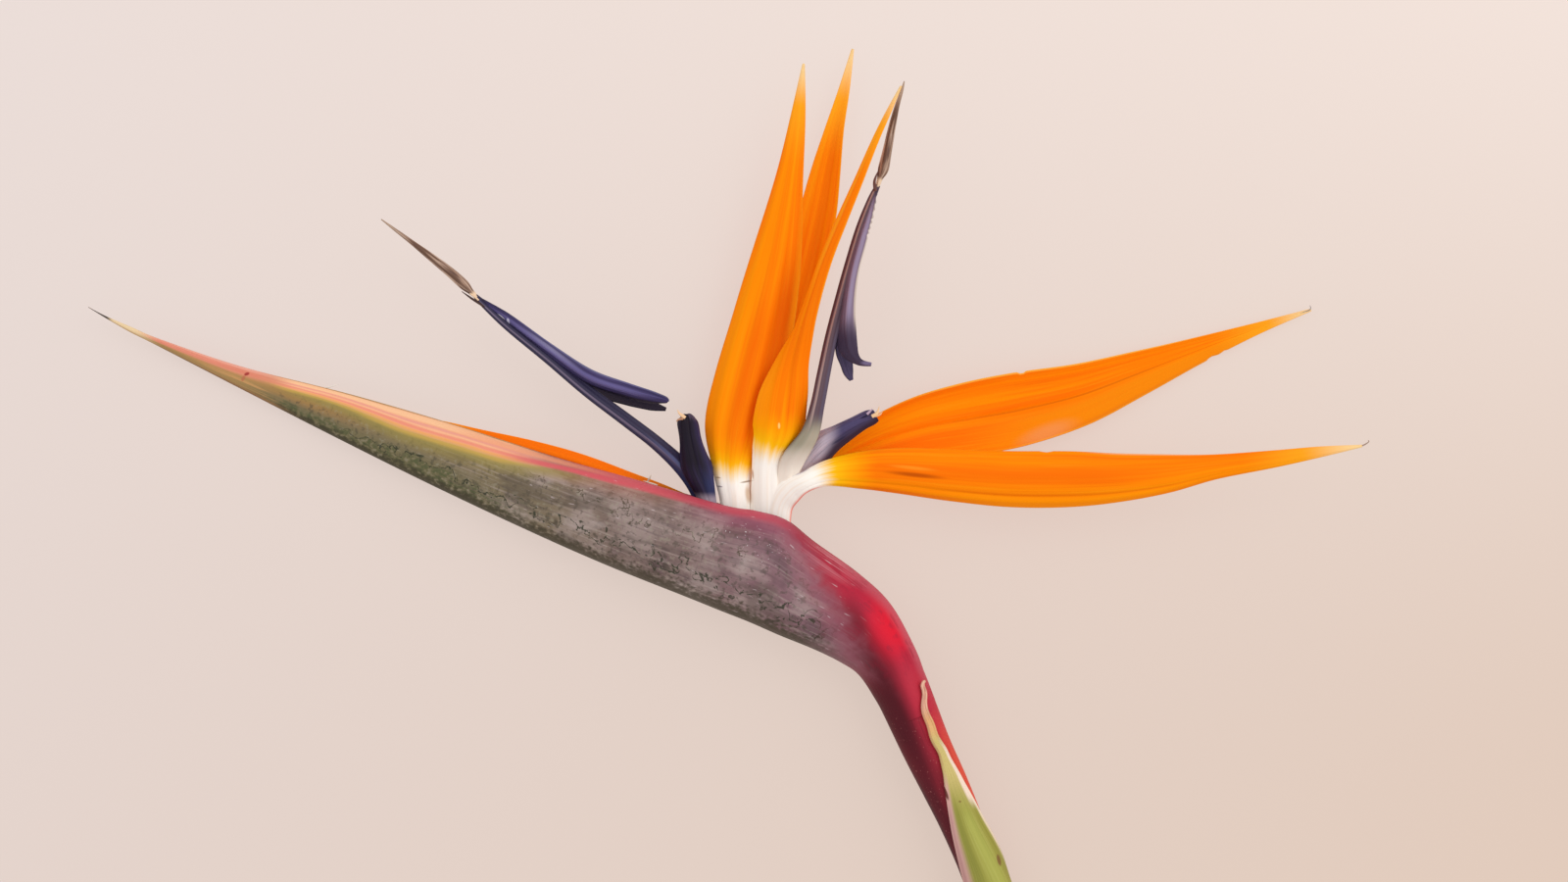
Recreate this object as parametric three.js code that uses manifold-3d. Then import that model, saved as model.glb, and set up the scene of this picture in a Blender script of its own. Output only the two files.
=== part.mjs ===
import * as THREE from 'three';
import { mergeVertices } from 'three/addons/utils/BufferGeometryUtils.js';
import Module from 'manifold-3d';

// A picked bird of paradise flower (Strelitzia reginae), lying on its side.
//
// X runs along the beak of the spathe towards its bend, Y runs from the cut end of the stalk
// towards the tips of the upright sepals, and Z is up from the surface that the flower lies on.
// The origin is on that surface, under the middle of the flower. All sizes are in millimetres.

const wasm = await Module();
wasm.setup();

// ---- Driving dimensions ----

const CLEARANCE = 0.3;
const SEPAL_THICKNESS = 0.8;
const PETAL_THICKNESS = 0.8;
const SHEATH_THICKNESS = 0.8;
const SPATHE_WALL = 1.6;
const SPATHE_LIP = 0.8;

// Stalk from the bend to the cut end. A row is x, y, z of its axis and its radius.
const STALK = [
  [36.5, -18.9, 8.5, 6.9],
  [39.8, -25.4, 8.3, 6.2],
  [45.0, -37.5, 8.0, 5.6],
  [49.2, -46.3, 7.7, 5.3],
  [53.2, -55.1, 7.4, 4.9],
  [57.3, -65.1, 7.1, 4.7],
  [61.7, -78.3, 6.6, 4.6],
  [66.8, -97.1, 6.0, 4.6],
  [71.5, -117.0, 5.5, 4.6],
];

// The stalk runs on inside the spathe, slimmer, as the axis that carries the florets.
const FLORAL_AXIS = [
  [-1.0, 0.9, 9.3, 2.6],
  [11.0, -1.5, 9.3, 3.4],
  [20.9, -4.6, 9.2, 4.2],
  [30.0, -10.3, 8.9, 4.6],
  [36.7, -18.5, 8.5, 4.7],
];

// Sheath bract round the stalk. A row is the share of the stalk's length from the bend, and
// the angles round the stalk of its right and left margins, with 90 degrees straight up.
const SHEATH = [
  [0.13, 36, 40],
  [0.19, 58, 66],
  [0.24, 50, 76],
  [0.32, 54, 88],
  [0.40, 34, 98],
  [0.51, 30, 123],
  [0.59, 15, 134],
  [0.67, -20, 150],
  [0.76, -60, 180],
  [0.88, -85, 215],
  [1.00, -100, 235],
];

// Spathe, from the tip of the beak to its base on the stalk. A row is x, y of the keel, x, y
// of the margins, height of the middle plane, width over both flanks, half gap of the slit.
const SPATHE = [
  [-143.3, 60.2, -143.2, 60.9, 3.5, 1.6, 0.15],
  [-128.3, 52.2, -127.5, 53.8, 3.1, 2.2, 0.2],
  [-110.6, 43.2, -108.9, 47.5, 2.6, 3.6, 0.3],
  [-88.5, 31.9, -84.1, 41.2, 3.3, 6.4, 0.7],
  [-66.3, 20.9, -59.7, 32.8, 4.6, 9.6, 1.1],
  [-44.1, 10.5, -37.1, 26.8, 6.2, 13.0, 1.5],
  [-26.5, 2.8, -18.7, 21.8, 7.7, 16.0, 2.7],
  [-8.8, -4.2, -0.4, 16.5, 9.0, 18.6, 4.3],
  [-1.1, -7.3, 7.0, 15.2, 9.4, 19.4, 4.4],
  [5.5, -9.9, 13.6, 13.4, 9.5, 19.6, 3.7],
  [12.1, -12.8, 20.2, 8.4, 9.4, 19.2, 0.4],
  [20.2, -16.1, 29.7, 1.1, 9.1, 17.4, 0.15],
  [26.4, -19.4, 37.2, -6.0, 8.8, 15.2, 0.15],
  [30.1, -21.2, 42.3, -15.0, 8.5, 13.8, 0.15],
];

// Necks of the two florets. A row is x, y, z, half length along the spathe, half depth.
const NECKS = {
  floret_1_neck: [
    [2.0, 0.9, 9.4, 3.0, 3.0],
    [1.7, 5.0, 9.4, 3.8, 3.4],
    [1.3, 9.3, 9.5, 4.9, 3.9],
  ],
  floret_2_neck: [
    [11.0, -0.4, 9.4, 2.8, 3.0],
    [10.8, 4.4, 9.4, 3.1, 3.4],
    [10.6, 8.8, 9.5, 3.7, 3.9],
  ],
};

// Sepals, from the claw on the floret's neck to the tip. A row is x, y, z of the midrib, the
// flat breadth, the half angle that the blade is bowed through (negative where its hollow
// side is up) and its roll about the midrib.
const SEPALS = {
  floret_1_sepal_front: [
    [2.7, 8.9, 11.8, 6.5, 70, 0],
    [2.7, 17.2, 11.9, 7.6, 65, 0],
    [1.6, 24.2, 11.9, 10.4, 60, 0],
    [2.7, 33.4, 11.8, 16.4, 50, 0],
    [5.3, 44.4, 11.7, 17.6, 48, 0],
    [8.6, 58.3, 11.5, 15.6, 48, 0],
    [11.7, 73.0, 11.5, 12.1, 45, 0],
    [14.4, 89.7, 11.7, 6.9, 45, 0],
    [16.3, 103.3, 12.0, 3.6, 40, 0],
    [17.6, 115.3, 12.5, 0.5, 30, 0],
  ],
  floret_1_sepal_rear: [
    [3.2, 8.9, 7.2, 5.4, -70, 0],
    [3.8, 17.6, 6.9, 5.8, -65, 0],
    [5.9, 24.6, 5.6, 7.8, -50, 0],
    [8.8, 33.9, 4.6, 9.8, -42, 0],
    [11.7, 44.5, 3.9, 10.7, -40, 0],
    [15.0, 57.8, 3.5, 10.8, -38, 0],
    [18.3, 71.0, 3.5, 9.9, -36, 0],
    [20.8, 82.1, 3.7, 8.8, -35, 0],
    [22.7, 91.8, 4.0, 6.9, -35, 0],
    [24.7, 101.5, 4.5, 4.4, -35, 0],
    [26.7, 109.8, 4.7, 2.6, -30, 0],
    [28.7, 119.1, 5.0, 0.5, -25, 0],
  ],
  floret_1_sepal_in_slit: [
    [-1.8, 8.9, 6.4, 4.6, 30, 0],
    [-6.4, 14.3, 6.5, 5.5, 25, 0],
    [-13.2, 17.1, 7.4, 6.8, 20, 0],
    [-22.0, 20.0, 8.1, 7.8, 15, 0],
    [-33.1, 24.0, 7.4, 8.0, 12, 0],
    [-44.1, 27.3, 6.5, 7.4, 12, 0],
    [-55.2, 30.4, 5.4, 6.0, 10, 0],
    [-64.1, 33.5, 4.4, 3.8, 10, 0],
    [-71.9, 36.5, 3.8, 0.5, 8, 0],
  ],
  floret_2_sepal_upright: [
    [7.2, 8.9, 9.4, 4.6, 65, 75],
    [7.7, 17.2, 10.2, 4.8, 60, 58],
    [8.9, 23.8, 12.2, 6.6, 52, -6],
    [10.5, 28.4, 14.1, 9.8, 50, -12],
    [12.0, 33.0, 15.5, 12.8, 48, -8],
    [13.0, 40.6, 16.3, 11.8, 42, 2],
    [14.5, 48.7, 16.7, 9.0, 42, 28],
    [16.7, 56.2, 17.1, 8.4, 42, 58],
    [19.1, 63.6, 17.5, 8.0, 38, 68],
    [22.2, 71.9, 17.9, 7.4, 35, 68],
    [25.9, 80.4, 18.5, 6.6, 32, 66],
    [29.6, 88.7, 19.3, 5.4, 30, 64],
    [33.5, 97.8, 20.1, 3.8, 26, 60],
    [36.8, 104.5, 20.7, 2.2, 22, 50],
    [39.6, 110.2, 21.3, 0.5, 20, 40],
  ],
  floret_2_sepal_rear: [
    [11.4, 8.9, 6.9, 5.0, -55, 0],
    [12.6, 16.2, 6.7, 5.0, -50, 0],
    [15.8, 20.4, 6.1, 5.2, -48, 0],
    [21.6, 24.4, 5.5, 6.2, -45, 0],
    [29.1, 28.6, 4.9, 9.0, -42, 0],
    [36.4, 31.5, 4.3, 12.8, -40, 0],
    [45.2, 34.0, 3.5, 16.0, -40, 0],
    [55.2, 35.9, 2.5, 17.9, -42, 0],
    [66.3, 37.9, 1.5, 18.2, -44, 0],
    [79.6, 41.1, 0.6, 15.6, -44, 0],
    [92.9, 46.0, 0.4, 11.2, -42, 0],
    [106.2, 51.1, 0.7, 6.6, -40, 0],
    [119.5, 56.0, 1.3, 2.9, -35, 0],
    [132.2, 60.4, 1.9, 0.5, -25, 0],
  ],
  floret_2_sepal_front: [
    [12.1, 8.9, 12.3, 4.6, 35, 0],
    [12.7, 16.1, 12.6, 4.6, 35, 0],
    [15.0, 19.4, 13.8, 4.8, 38, 0],
    [18.0, 21.7, 14.7, 5.0, 45, 0],
    [23.1, 23.6, 15.1, 6.6, 52, 0],
    [30.7, 24.2, 15.3, 9.8, 56, 0],
    [39.5, 24.0, 15.8, 12.2, 58, 0],
    [50.4, 23.2, 16.0, 14.0, 60, 0],
    [63.6, 22.4, 16.0, 15.0, 60, 0],
    [76.7, 22.3, 16.1, 14.8, 60, 0],
    [87.6, 22.5, 16.5, 12.8, 58, 0],
    [98.5, 23.4, 16.9, 10.1, 55, 0],
    [109.4, 25.0, 17.5, 6.3, 50, 0],
    [122.5, 26.8, 18.3, 4.2, 45, 0],
    [132.2, 28.3, 18.9, 2.6, 40, 0],
    [142.0, 29.7, 19.5, 0.5, 30, 0],
  ],
};

// The two short nectary petals, folded lengthwise. Rows as for the sepals.
const NECTARY_PETALS = {
  floret_1_nectary_petal: [
    [-1.9, 8.9, 12.1, 3.8, 50, 0],
    [-3.4, 17.6, 12.4, 4.8, 60, 0],
    [-5.9, 24.9, 13.6, 9.4, 75, 0],
    [-7.9, 30.8, 13.8, 8.0, 78, 0],
    [-8.5, 34.8, 13.7, 5.2, 78, 0],
    [-8.8, 36.7, 13.5, 1.6, 60, 0],
  ],
  floret_2_nectary_petal: [
    [12.6, 8.9, 8.9, 2.4, 50, 0],
    [14.0, 18.0, 9.0, 2.6, 50, 0],
    [17.9, 24.9, 10.9, 4.6, 60, 0],
    [21.7, 29.3, 12.1, 7.6, 76, 0],
    [25.9, 32.3, 12.7, 7.2, 80, 0],
    [29.9, 34.5, 12.9, 5.6, 78, 0],
    [32.7, 36.0, 12.9, 4.0, 70, 0],
    [34.5, 36.7, 12.9, 1.2, 50, 0],
  ],
};

// Arrow petals: the two joined blue petals of a floret. The shaft holds the style, and two
// wings with free lobes make the arrowhead. Shaft rows are x, y, z, half width, half depth;
// wing rows are as for the sepals.
const ARROW_PETALS = {
  floret_1_arrow_petal: {
    shaft: [
      [-3.5, 8.9, 9.0, 1.5, 1.2],
      [-5.1, 18.0, 9.0, 2.0, 1.3],
      [-8.8, 24.0, 9.3, 1.8, 1.4],
      [-14.9, 29.9, 9.9, 1.5, 1.4],
      [-22.0, 35.4, 10.5, 1.4, 1.3],
      [-30.8, 42.0, 10.9, 1.3, 1.2],
      [-39.5, 49.3, 11.0, 1.2, 1.1],
      [-48.3, 56.3, 11.2, 1.0, 1.0],
      [-53.4, 60.9, 11.4, 0.8, 0.8],
      [-56.0, 63.3, 11.5, 0.5, 0.5],
    ],
    wings: [
      [
        [-54.0, 61.4, 11.6, 1.0, 20, -40],
        [-48.3, 57.4, 11.9, 2.5, 25, -40],
        [-39.5, 50.7, 12.3, 3.2, 25, -40],
        [-30.8, 44.6, 12.9, 4.4, 25, -40],
        [-22.0, 41.7, 13.3, 4.1, 25, -40],
        [-16.6, 40.3, 13.5, 3.0, 25, -40],
        [-12.7, 39.7, 13.6, 0.9, 20, -40],
      ],
      [
        [-54.0, 61.2, 11.0, 1.0, -20, 40],
        [-48.3, 57.2, 10.5, 2.5, -25, 40],
        [-39.6, 50.3, 9.7, 3.2, -25, 40],
        [-30.8, 43.7, 8.9, 4.4, -25, 40],
        [-22.0, 40.0, 8.5, 4.1, -25, 40],
        [-17.2, 38.8, 8.5, 3.0, -25, 40],
        [-13.3, 37.9, 8.6, 0.9, -20, 40],
      ],
    ],
  },
  floret_2_arrow_petal: {
    shaft: [
      [10.7, 8.9, 10.3, 1.2, 1.0],
      [11.8, 16.6, 10.4, 1.3, 1.0],
      [13.6, 21.6, 11.4, 1.8, 1.0],
      [16.1, 26.4, 14.1, 2.2, 1.3],
      [19.4, 32.3, 15.2, 1.7, 1.4],
      [20.6, 38.5, 15.2, 1.5, 1.4],
      [22.0, 45.5, 15.0, 1.4, 1.3],
      [23.7, 53.8, 14.9, 1.3, 1.2],
      [25.7, 61.9, 15.0, 1.2, 1.1],
      [27.9, 70.2, 15.2, 1.1, 1.0],
      [30.3, 78.3, 15.5, 1.0, 0.9],
      [32.7, 84.7, 15.9, 0.8, 0.8],
      [34.2, 87.9, 16.1, 0.5, 0.5],
    ],
    wings: [
      [
        [33.2, 85.4, 16.2, 1.0, 20, -30],
        [31.8, 80.6, 16.4, 1.8, 25, -30],
        [30.1, 75.6, 16.6, 2.6, 25, -30],
        [28.5, 69.1, 16.6, 3.2, 25, -30],
        [27.4, 62.5, 16.5, 3.8, 25, -30],
        [26.9, 56.0, 16.3, 5.0, 25, -30],
        [27.6, 51.1, 16.2, 4.6, 25, -30],
        [29.8, 48.5, 16.0, 2.0, 25, -30],
        [32.7, 47.9, 15.9, 0.9, 20, -30],
      ],
      [
        [26.8, 63.7, 13.8, 2.5, -20, 30],
        [26.3, 57.1, 13.0, 3.6, -25, 30],
        [26.3, 51.6, 12.5, 3.8, -25, 30],
        [27.2, 47.2, 12.3, 3.2, -25, 30],
        [28.3, 44.4, 12.1, 0.9, -20, 30],
      ],
    ],
  },
};

// Dried tips of the styles. Rows as for the shafts.
const STIGMAS = {
  floret_1_stigma: [
    [-56.6, 63.9, 11.6, 0.5, 0.5],
    [-58.8, 66.2, 11.9, 1.2, 0.9],
    [-63.2, 69.9, 12.5, 1.3, 0.9],
    [-68.0, 73.6, 13.1, 1.1, 0.8],
    [-72.3, 76.9, 13.7, 0.7, 0.6],
    [-76.7, 80.1, 14.3, 0.3, 0.3],
  ],
  floret_2_stigma: [
    [34.4, 88.6, 16.3, 0.6, 0.5],
    [35.1, 91.2, 16.5, 1.1, 0.9],
    [36.2, 96.0, 17.1, 1.1, 0.9],
    [37.5, 101.9, 17.8, 0.9, 0.8],
    [38.8, 106.4, 18.4, 0.6, 0.6],
    [39.8, 109.9, 18.9, 0.3, 0.3],
  ],
};

// ---- Surfaces and finishes ----

const finish = (color, roughness) => new THREE.MeshStandardMaterial({ color, roughness, metalness: 0 });
const STALK_RED = finish('#7a2a33', 0.5);
const SHEATH_GREEN = finish('#aab95a', 0.6);
const SPATHE_GREY = finish('#7d6468', 0.55);
const NECK_CREAM = finish('#f1e7d6', 0.5);
const SEPAL_ORANGE = finish('#ff8a05', 0.5);
const PETAL_BLUE = finish('#3d3866', 0.45);
const STIGMA_BROWN = finish('#8c6f64', 0.75);

// ---- Bending boxes and cylinders along curves ----

const UP = new THREE.Vector3(0, 0, 1);
const STEP = 1e-4;
const SAME_CORNER = 1e-4;

// How finely each kind of piece is divided: round it or across it, then along it.
const PEDUNCLE_SIDES = 16;
const AXIS_RINGS = 9;
const STALK_RINGS = 20;
const SHEATH_GRID = [10, 26];
const SPATHE_GRID = [14, 30];
const NECK_GRID = [16, 4];
const SEPAL_GRID = [6, 26];
const NECTARY_GRID = [6, 12];
const SHAFT_GRID = [8, 22];
const WING_GRID = [3, 12];
const STIGMA_GRID = [6, 10];

// A smooth run through rows of numbers: share 0 gives the first row and share 1 the last.
function through(rows) {
  const runs = rows[0].map((_, column) => {
    return new THREE.SplineCurve(rows.map((row, index) => new THREE.Vector2(index, row[column])));
  });
  return share => runs.map(run => run.getPoint(share).y);
}

// Axes of a run at a share of its length: along it, to its right, and out of its upper side.
function axesAt(run, share) {
  const before = new THREE.Vector3(...run(Math.max(share - STEP, 0)));
  const after = new THREE.Vector3(...run(Math.min(share + STEP, 1)));
  const along = after.sub(before).normalize();
  const right = new THREE.Vector3().crossVectors(along, UP).normalize();
  const out = new THREE.Vector3().crossVectors(right, along);
  return { along, right, out };
}

// The same closed surface with its shared corners joined and every corner moved by place().
function bent(geometry, place) {
  geometry.deleteAttribute('normal');
  geometry.deleteAttribute('uv');
  const position = geometry.attributes.position;
  const corner = new THREE.Vector3();
  for (let index = 0; index < position.count; index += 1) {
    corner.fromBufferAttribute(position, index);
    const moved = place(corner.x, corner.y, corner.z);
    position.setXYZ(index, moved.x, moved.y, Math.max(moved.z, 0));
  }
  return mergeVertices(geometry, SAME_CORNER);
}

// A box two wide, one long and one thick. Both faces are split along the same diagonals.
function slab([across, lengthwise]) {
  const geometry = new THREE.BoxGeometry(2, 1, 1, across, lengthwise, 1);
  const back = geometry.groups[5];
  const index = geometry.index;
  for (let first = back.start; first < back.start + back.count; first += 6) {
    const a = index.getX(first);
    const b = index.getX(first + 1);
    const c = index.getX(first + 4);
    const d = index.getX(first + 2);
    [a, b, c, a, c, d].forEach((corner, place) => index.setX(first + place, corner));
  }
  return geometry;
}

// A bowed leaf-like blade along rows of x, y, z, breadth, bow and roll.
function blade(rows, thickness, grid) {
  const run = through(rows);
  const radians = THREE.MathUtils.degToRad;
  const middle = (s, t) => {
    const [x, y, z, breadth, bow, roll] = run(s);
    const { along, right, out } = axesAt(share => run(share).slice(0, 3), s);
    const radius = breadth / 2 / radians(bow);
    const side = right.multiplyScalar(radius * Math.sin(t * radians(bow)));
    const sag = out.multiplyScalar(radius * (Math.cos(t * radians(bow)) - 1));
    return side.add(sag).applyAxisAngle(along, -radians(roll)).add(new THREE.Vector3(x, y, z));
  };
  return bent(slab(grid), (t, length, face) => {
    const s = length + 0.5;
    const acrossIt = middle(s, t + STEP).sub(middle(s, t - STEP));
    const alongIt = middle(Math.min(s + STEP, 1), t).sub(middle(Math.max(s - STEP, 0), t));
    const normal = acrossIt.cross(alongIt).normalize();
    return middle(s, t).addScaledVector(normal, face * thickness);
  });
}

// A flattened rod along rows of x, y, z, half width and half depth, grown by a margin.
function rod(rows, [sides, rings], margin = 0) {
  const run = through(rows);
  return bent(new THREE.CylinderGeometry(1, 1, 1, sides, rings), (x, length, z) => {
    const s = length + 0.5;
    const [centreX, centreY, centreZ, halfWidth, halfDepth] = run(s);
    const { along, right, out } = axesAt(share => run(share).slice(0, 3), s);
    return new THREE.Vector3(centreX, centreY, centreZ)
      .addScaledVector(right, x * (halfWidth + margin))
      .addScaledVector(out, z * (halfDepth + margin))
      .addScaledVector(along, 2 * length * margin);
  });
}

// ---- Joining and cutting ----

function toSolid(geometry) {
  const vertProperties = new Float32Array(geometry.attributes.position.array);
  const triVerts = new Uint32Array(geometry.index.array);
  return new wasm.Manifold(new wasm.Mesh({ numProp: 3, vertProperties, triVerts }));
}

function toGeometry(solid) {
  const mesh = solid.getMesh();
  const geometry = new THREE.BufferGeometry();
  geometry.setAttribute('position', new THREE.BufferAttribute(mesh.vertProperties, 3));
  geometry.setIndex(new THREE.BufferAttribute(mesh.triVerts, 1));
  return geometry;
}

const cut = (geometry, cutter) => toGeometry(toSolid(geometry).subtract(toSolid(cutter)));
const fuse = pieces => toGeometry(pieces.map(toSolid).reduce((whole, piece) => whole.add(piece)));

// ---- The pieces ----

const flower = new THREE.Group();

function addPiece(name, geometry, material) {
  geometry.computeVertexNormals();
  const mesh = new THREE.Mesh(geometry, material);
  mesh.name = name;
  flower.add(mesh);
}

// Stalk and floral axis are one rod, with a square shoulder where the spathe sits on it.
function peduncle(margin = 0) {
  const rings = AXIS_RINGS + 1 + STALK_RINGS;
  const axisRun = through(FLORAL_AXIS);
  const stalkRun = through(STALK);
  return bent(new THREE.CylinderGeometry(1, 1, 1, PEDUNCLE_SIDES, rings), (x, length, z) => {
    const ring = Math.round((0.5 + length) * rings);
    const inside = ring <= AXIS_RINGS;
    const run = inside ? axisRun : stalkRun;
    const share = inside ? ring / AXIS_RINGS : (ring - AXIS_RINGS - 1) / STALK_RINGS;
    const [centreX, centreY, centreZ, radius] = run(share);
    const { along, right, out } = axesAt(s => run(s).slice(0, 3), share);
    const end = ring === 0 ? -margin : 0;
    return new THREE.Vector3(centreX, centreY, centreZ)
      .addScaledVector(right, x * (radius + margin))
      .addScaledVector(out, z * (radius + margin))
      .addScaledVector(along, end);
  });
}

function sheathBract() {
  const stalkRun = through(STALK);
  const sheathRun = through(SHEATH);
  return bent(slab(SHEATH_GRID), (t, length, face) => {
    const [share, rightMargin, leftMargin] = sheathRun(length + 0.5);
    const angle = THREE.MathUtils.degToRad(THREE.MathUtils.lerp(rightMargin, leftMargin, (t + 1) / 2));
    const [x, y, z, stalkRadius] = stalkRun(share);
    const { right, out } = axesAt(s => stalkRun(s).slice(0, 3), share);
    const radius = stalkRadius + CLEARANCE + (0.5 + face) * SHEATH_THICKNESS;
    return new THREE.Vector3(x, y, z)
      .addScaledVector(right, -radius * Math.cos(angle))
      .addScaledVector(out, radius * Math.sin(angle));
  });
}

// The spathe is one folded bract: across it, the wall runs from one margin down its flank,
// round the keel and up the other flank, so it is a boat with a slit along its top. Towards
// the tip of the beak the wall takes up a quarter of the width, and less than half the depth.
function spathe() {
  const MOST_OF_WIDTH = 0.25;
  const MOST_OF_DEPTH = 0.4;
  const run = through(SPATHE);
  return bent(slab(SPATHE_GRID), (t, length, face) => {
    const [keelX, keelY, marginX, marginY, height, width, slit] = run(length + 0.5);
    const inside = face > 0;
    const wall = Math.min(SPATHE_WALL, width * MOST_OF_WIDTH);
    const lip = Math.min(SPATHE_LIP, width * MOST_OF_WIDTH);
    const angle = Math.PI * Math.abs(t);
    const depth = Math.hypot(marginX - keelX, marginY - keelY);
    const floor = inside ? Math.min(wall / depth, MOST_OF_DEPTH) : 0;
    const rise = THREE.MathUtils.lerp(floor, 1, (1 - Math.cos(angle)) / 2);
    const halfWidth = width / 2 - (inside ? wall : 0);
    const halfSlit = slit + (inside ? 0 : lip);
    const swell = halfWidth * Math.sin(angle) + halfSlit * (1 - Math.cos(angle)) / 2;
    return new THREE.Vector3(
      THREE.MathUtils.lerp(keelX, marginX, rise),
      THREE.MathUtils.lerp(keelY, marginY, rise),
      height + Math.sign(t) * swell,
    );
  });
}

addPiece('peduncle', peduncle(), STALK_RED);
addPiece('sheath_bract', sheathBract(), SHEATH_GREEN);
addPiece('spathe', spathe(), SPATHE_GREY);

for (const [name, rows] of Object.entries(NECKS)) {
  addPiece(name, cut(rod(rows, NECK_GRID), peduncle(CLEARANCE)), NECK_CREAM);
}

// Every part of a floret stands on its neck, with a little air between them.
const floretOf = name => name.match(/^floret_\d/)[0];
const neckRoom = name => rod(NECKS[`${floretOf(name)}_neck`], NECK_GRID, CLEARANCE);

for (const [name, rows] of Object.entries(SEPALS)) {
  addPiece(name, cut(blade(rows, SEPAL_THICKNESS, SEPAL_GRID), neckRoom(name)), SEPAL_ORANGE);
}

for (const [name, rows] of Object.entries(NECTARY_PETALS)) {
  addPiece(name, cut(blade(rows, PETAL_THICKNESS, NECTARY_GRID), neckRoom(name)), PETAL_BLUE);
}

for (const [name, { shaft, wings }] of Object.entries(ARROW_PETALS)) {
  const blades = wings.map(rows => blade(rows, PETAL_THICKNESS, WING_GRID));
  addPiece(name, cut(fuse([rod(shaft, SHAFT_GRID), ...blades]), neckRoom(name)), PETAL_BLUE);
}

for (const [name, rows] of Object.entries(STIGMAS)) {
  addPiece(name, rod(rows, STIGMA_GRID), STIGMA_BROWN);
}

export default flower;
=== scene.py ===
import math

import bmesh
import bpy
import numpy as np
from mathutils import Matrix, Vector


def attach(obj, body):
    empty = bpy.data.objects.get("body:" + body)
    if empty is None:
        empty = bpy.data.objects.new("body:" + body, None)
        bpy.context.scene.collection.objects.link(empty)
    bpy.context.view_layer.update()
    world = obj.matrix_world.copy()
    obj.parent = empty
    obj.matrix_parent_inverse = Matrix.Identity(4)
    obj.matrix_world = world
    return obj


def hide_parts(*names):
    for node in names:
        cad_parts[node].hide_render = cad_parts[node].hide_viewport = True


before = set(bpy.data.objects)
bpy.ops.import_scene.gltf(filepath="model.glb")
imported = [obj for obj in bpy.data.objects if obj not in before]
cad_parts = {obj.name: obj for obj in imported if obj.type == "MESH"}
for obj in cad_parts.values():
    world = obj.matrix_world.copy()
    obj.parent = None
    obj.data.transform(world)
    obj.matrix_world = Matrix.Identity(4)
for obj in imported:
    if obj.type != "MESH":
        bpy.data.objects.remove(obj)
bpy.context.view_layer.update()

# ---- Camera, floor and lights ----
# The flower lies on a pale beige surface and is seen from straight above, through a long lens,
# under large soft lights. Most of the surface's light comes from within, as on a light table, so
# the flower hardly throws a shadow. Millimetres are turned into metres where they are used.

MM = 0.001
PHOTO_WIDTH_MM = 352.0
VIEW_CENTRE = (13.2, 30.8, 9.5)
LENS_MM = 135.0
SENSOR_MM = 36.0
FLOOR_HALF_M = 6.0
FLOOR_GLOW = 0.8
STUDIO_STRENGTH = 0.78
BLACK = (0.0, 0.0, 0.0, 1.0)


def paint(code):
    """A colour as the eye reads it, given as rrggbb, turned into the light that it reflects."""
    parts = [int(code[place : place + 2], 16) / 255 for place in (0, 2, 4)]
    linear = [part / 12.92 if part <= 0.04045 else ((part + 0.055) / 1.055) ** 2.4 for part in parts]
    return (*linear, 1.0)


camera_data = bpy.data.cameras.new("camera")
camera_data.lens = LENS_MM
camera_data.sensor_width = SENSOR_MM
camera = bpy.data.objects.new("camera", camera_data)
camera_height = VIEW_CENTRE[2] + PHOTO_WIDTH_MM * LENS_MM / SENSOR_MM
camera.location = (VIEW_CENTRE[0] * MM, VIEW_CENTRE[1] * MM, camera_height * MM)
bpy.context.scene.collection.objects.link(camera)
bpy.context.scene.camera = camera
bpy.context.scene.view_settings.view_transform = "Standard"

floor_mesh = bpy.data.meshes.new("floor")
floor_form = bmesh.new()
bmesh.ops.create_grid(floor_form, x_segments=4, y_segments=4, size=FLOOR_HALF_M)
floor_form.to_mesh(floor_mesh)
floor_form.free()
floor = bpy.data.objects.new("floor", floor_mesh)
bpy.context.scene.collection.objects.link(floor)
floor_finish = bpy.data.materials.new("floor_beige")
floor_finish.use_nodes = True
floor_tree = floor_finish.node_tree
floor_shader = floor_tree.nodes["Principled BSDF"]


def floor_step(kind, *given, **settings):
    """One step of the floor's colouring, fed with what is given in the order of its sockets."""
    made = floor_tree.nodes.new("ShaderNode" + kind)
    for setting, value in settings.items():
        setattr(made, setting, value)
    for socket, value in zip(made.inputs, given):
        if isinstance(value, bpy.types.NodeSocket):
            floor_tree.links.new(value, socket)
        else:
            socket.default_value = value
    return made.outputs[0]


# The surface is cooler at the upper left and warmer at the lower right, and a painted pool of light makes
# it brightest at the far right.
floor_place = floor_tree.nodes.new("ShaderNodeTexCoord")
floor_axes = floor_tree.nodes.new("ShaderNodeSeparateXYZ")
floor_tree.links.new(floor_place.outputs["Object"], floor_axes.inputs[0])
floor_x, floor_y, _ = floor_axes.outputs
floor_slope = floor_step("Math", floor_x, floor_y, operation="SUBTRACT")
floor_share = floor_step("MapRange", floor_slope, -0.3, 0.3)
floor_tint = floor_step("MixRGB", floor_share, paint("e5d8d4"), paint("e0c9b9"))
floor_far = floor_step("MapRange", floor_y, -0.05, 0.2, 0.0, 1.0, interpolation_type="SMOOTHSTEP")
floor_right = floor_step("MapRange", floor_x, -0.2, 0.25, 0.25, 0.9)
floor_painted_light = floor_step("Math", floor_far, floor_right, operation="MULTIPLY")
floor_colour = floor_step("MixRGB", floor_painted_light, floor_tint, paint("f8eae3"))
floor_dim = floor_step("MixRGB", FLOOR_GLOW, floor_colour, BLACK)
floor_tree.links.new(floor_dim, floor_shader.inputs["Base Color"])
floor_tree.links.new(floor_colour, floor_shader.inputs["Emission Color"])
floor_shader.inputs["Emission Strength"].default_value = FLOOR_GLOW
floor_shader.inputs["Roughness"].default_value = 0.9
floor_shader.inputs["Specular IOR Level"].default_value = 0.1
floor_mesh.materials.append(floor_finish)

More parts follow.
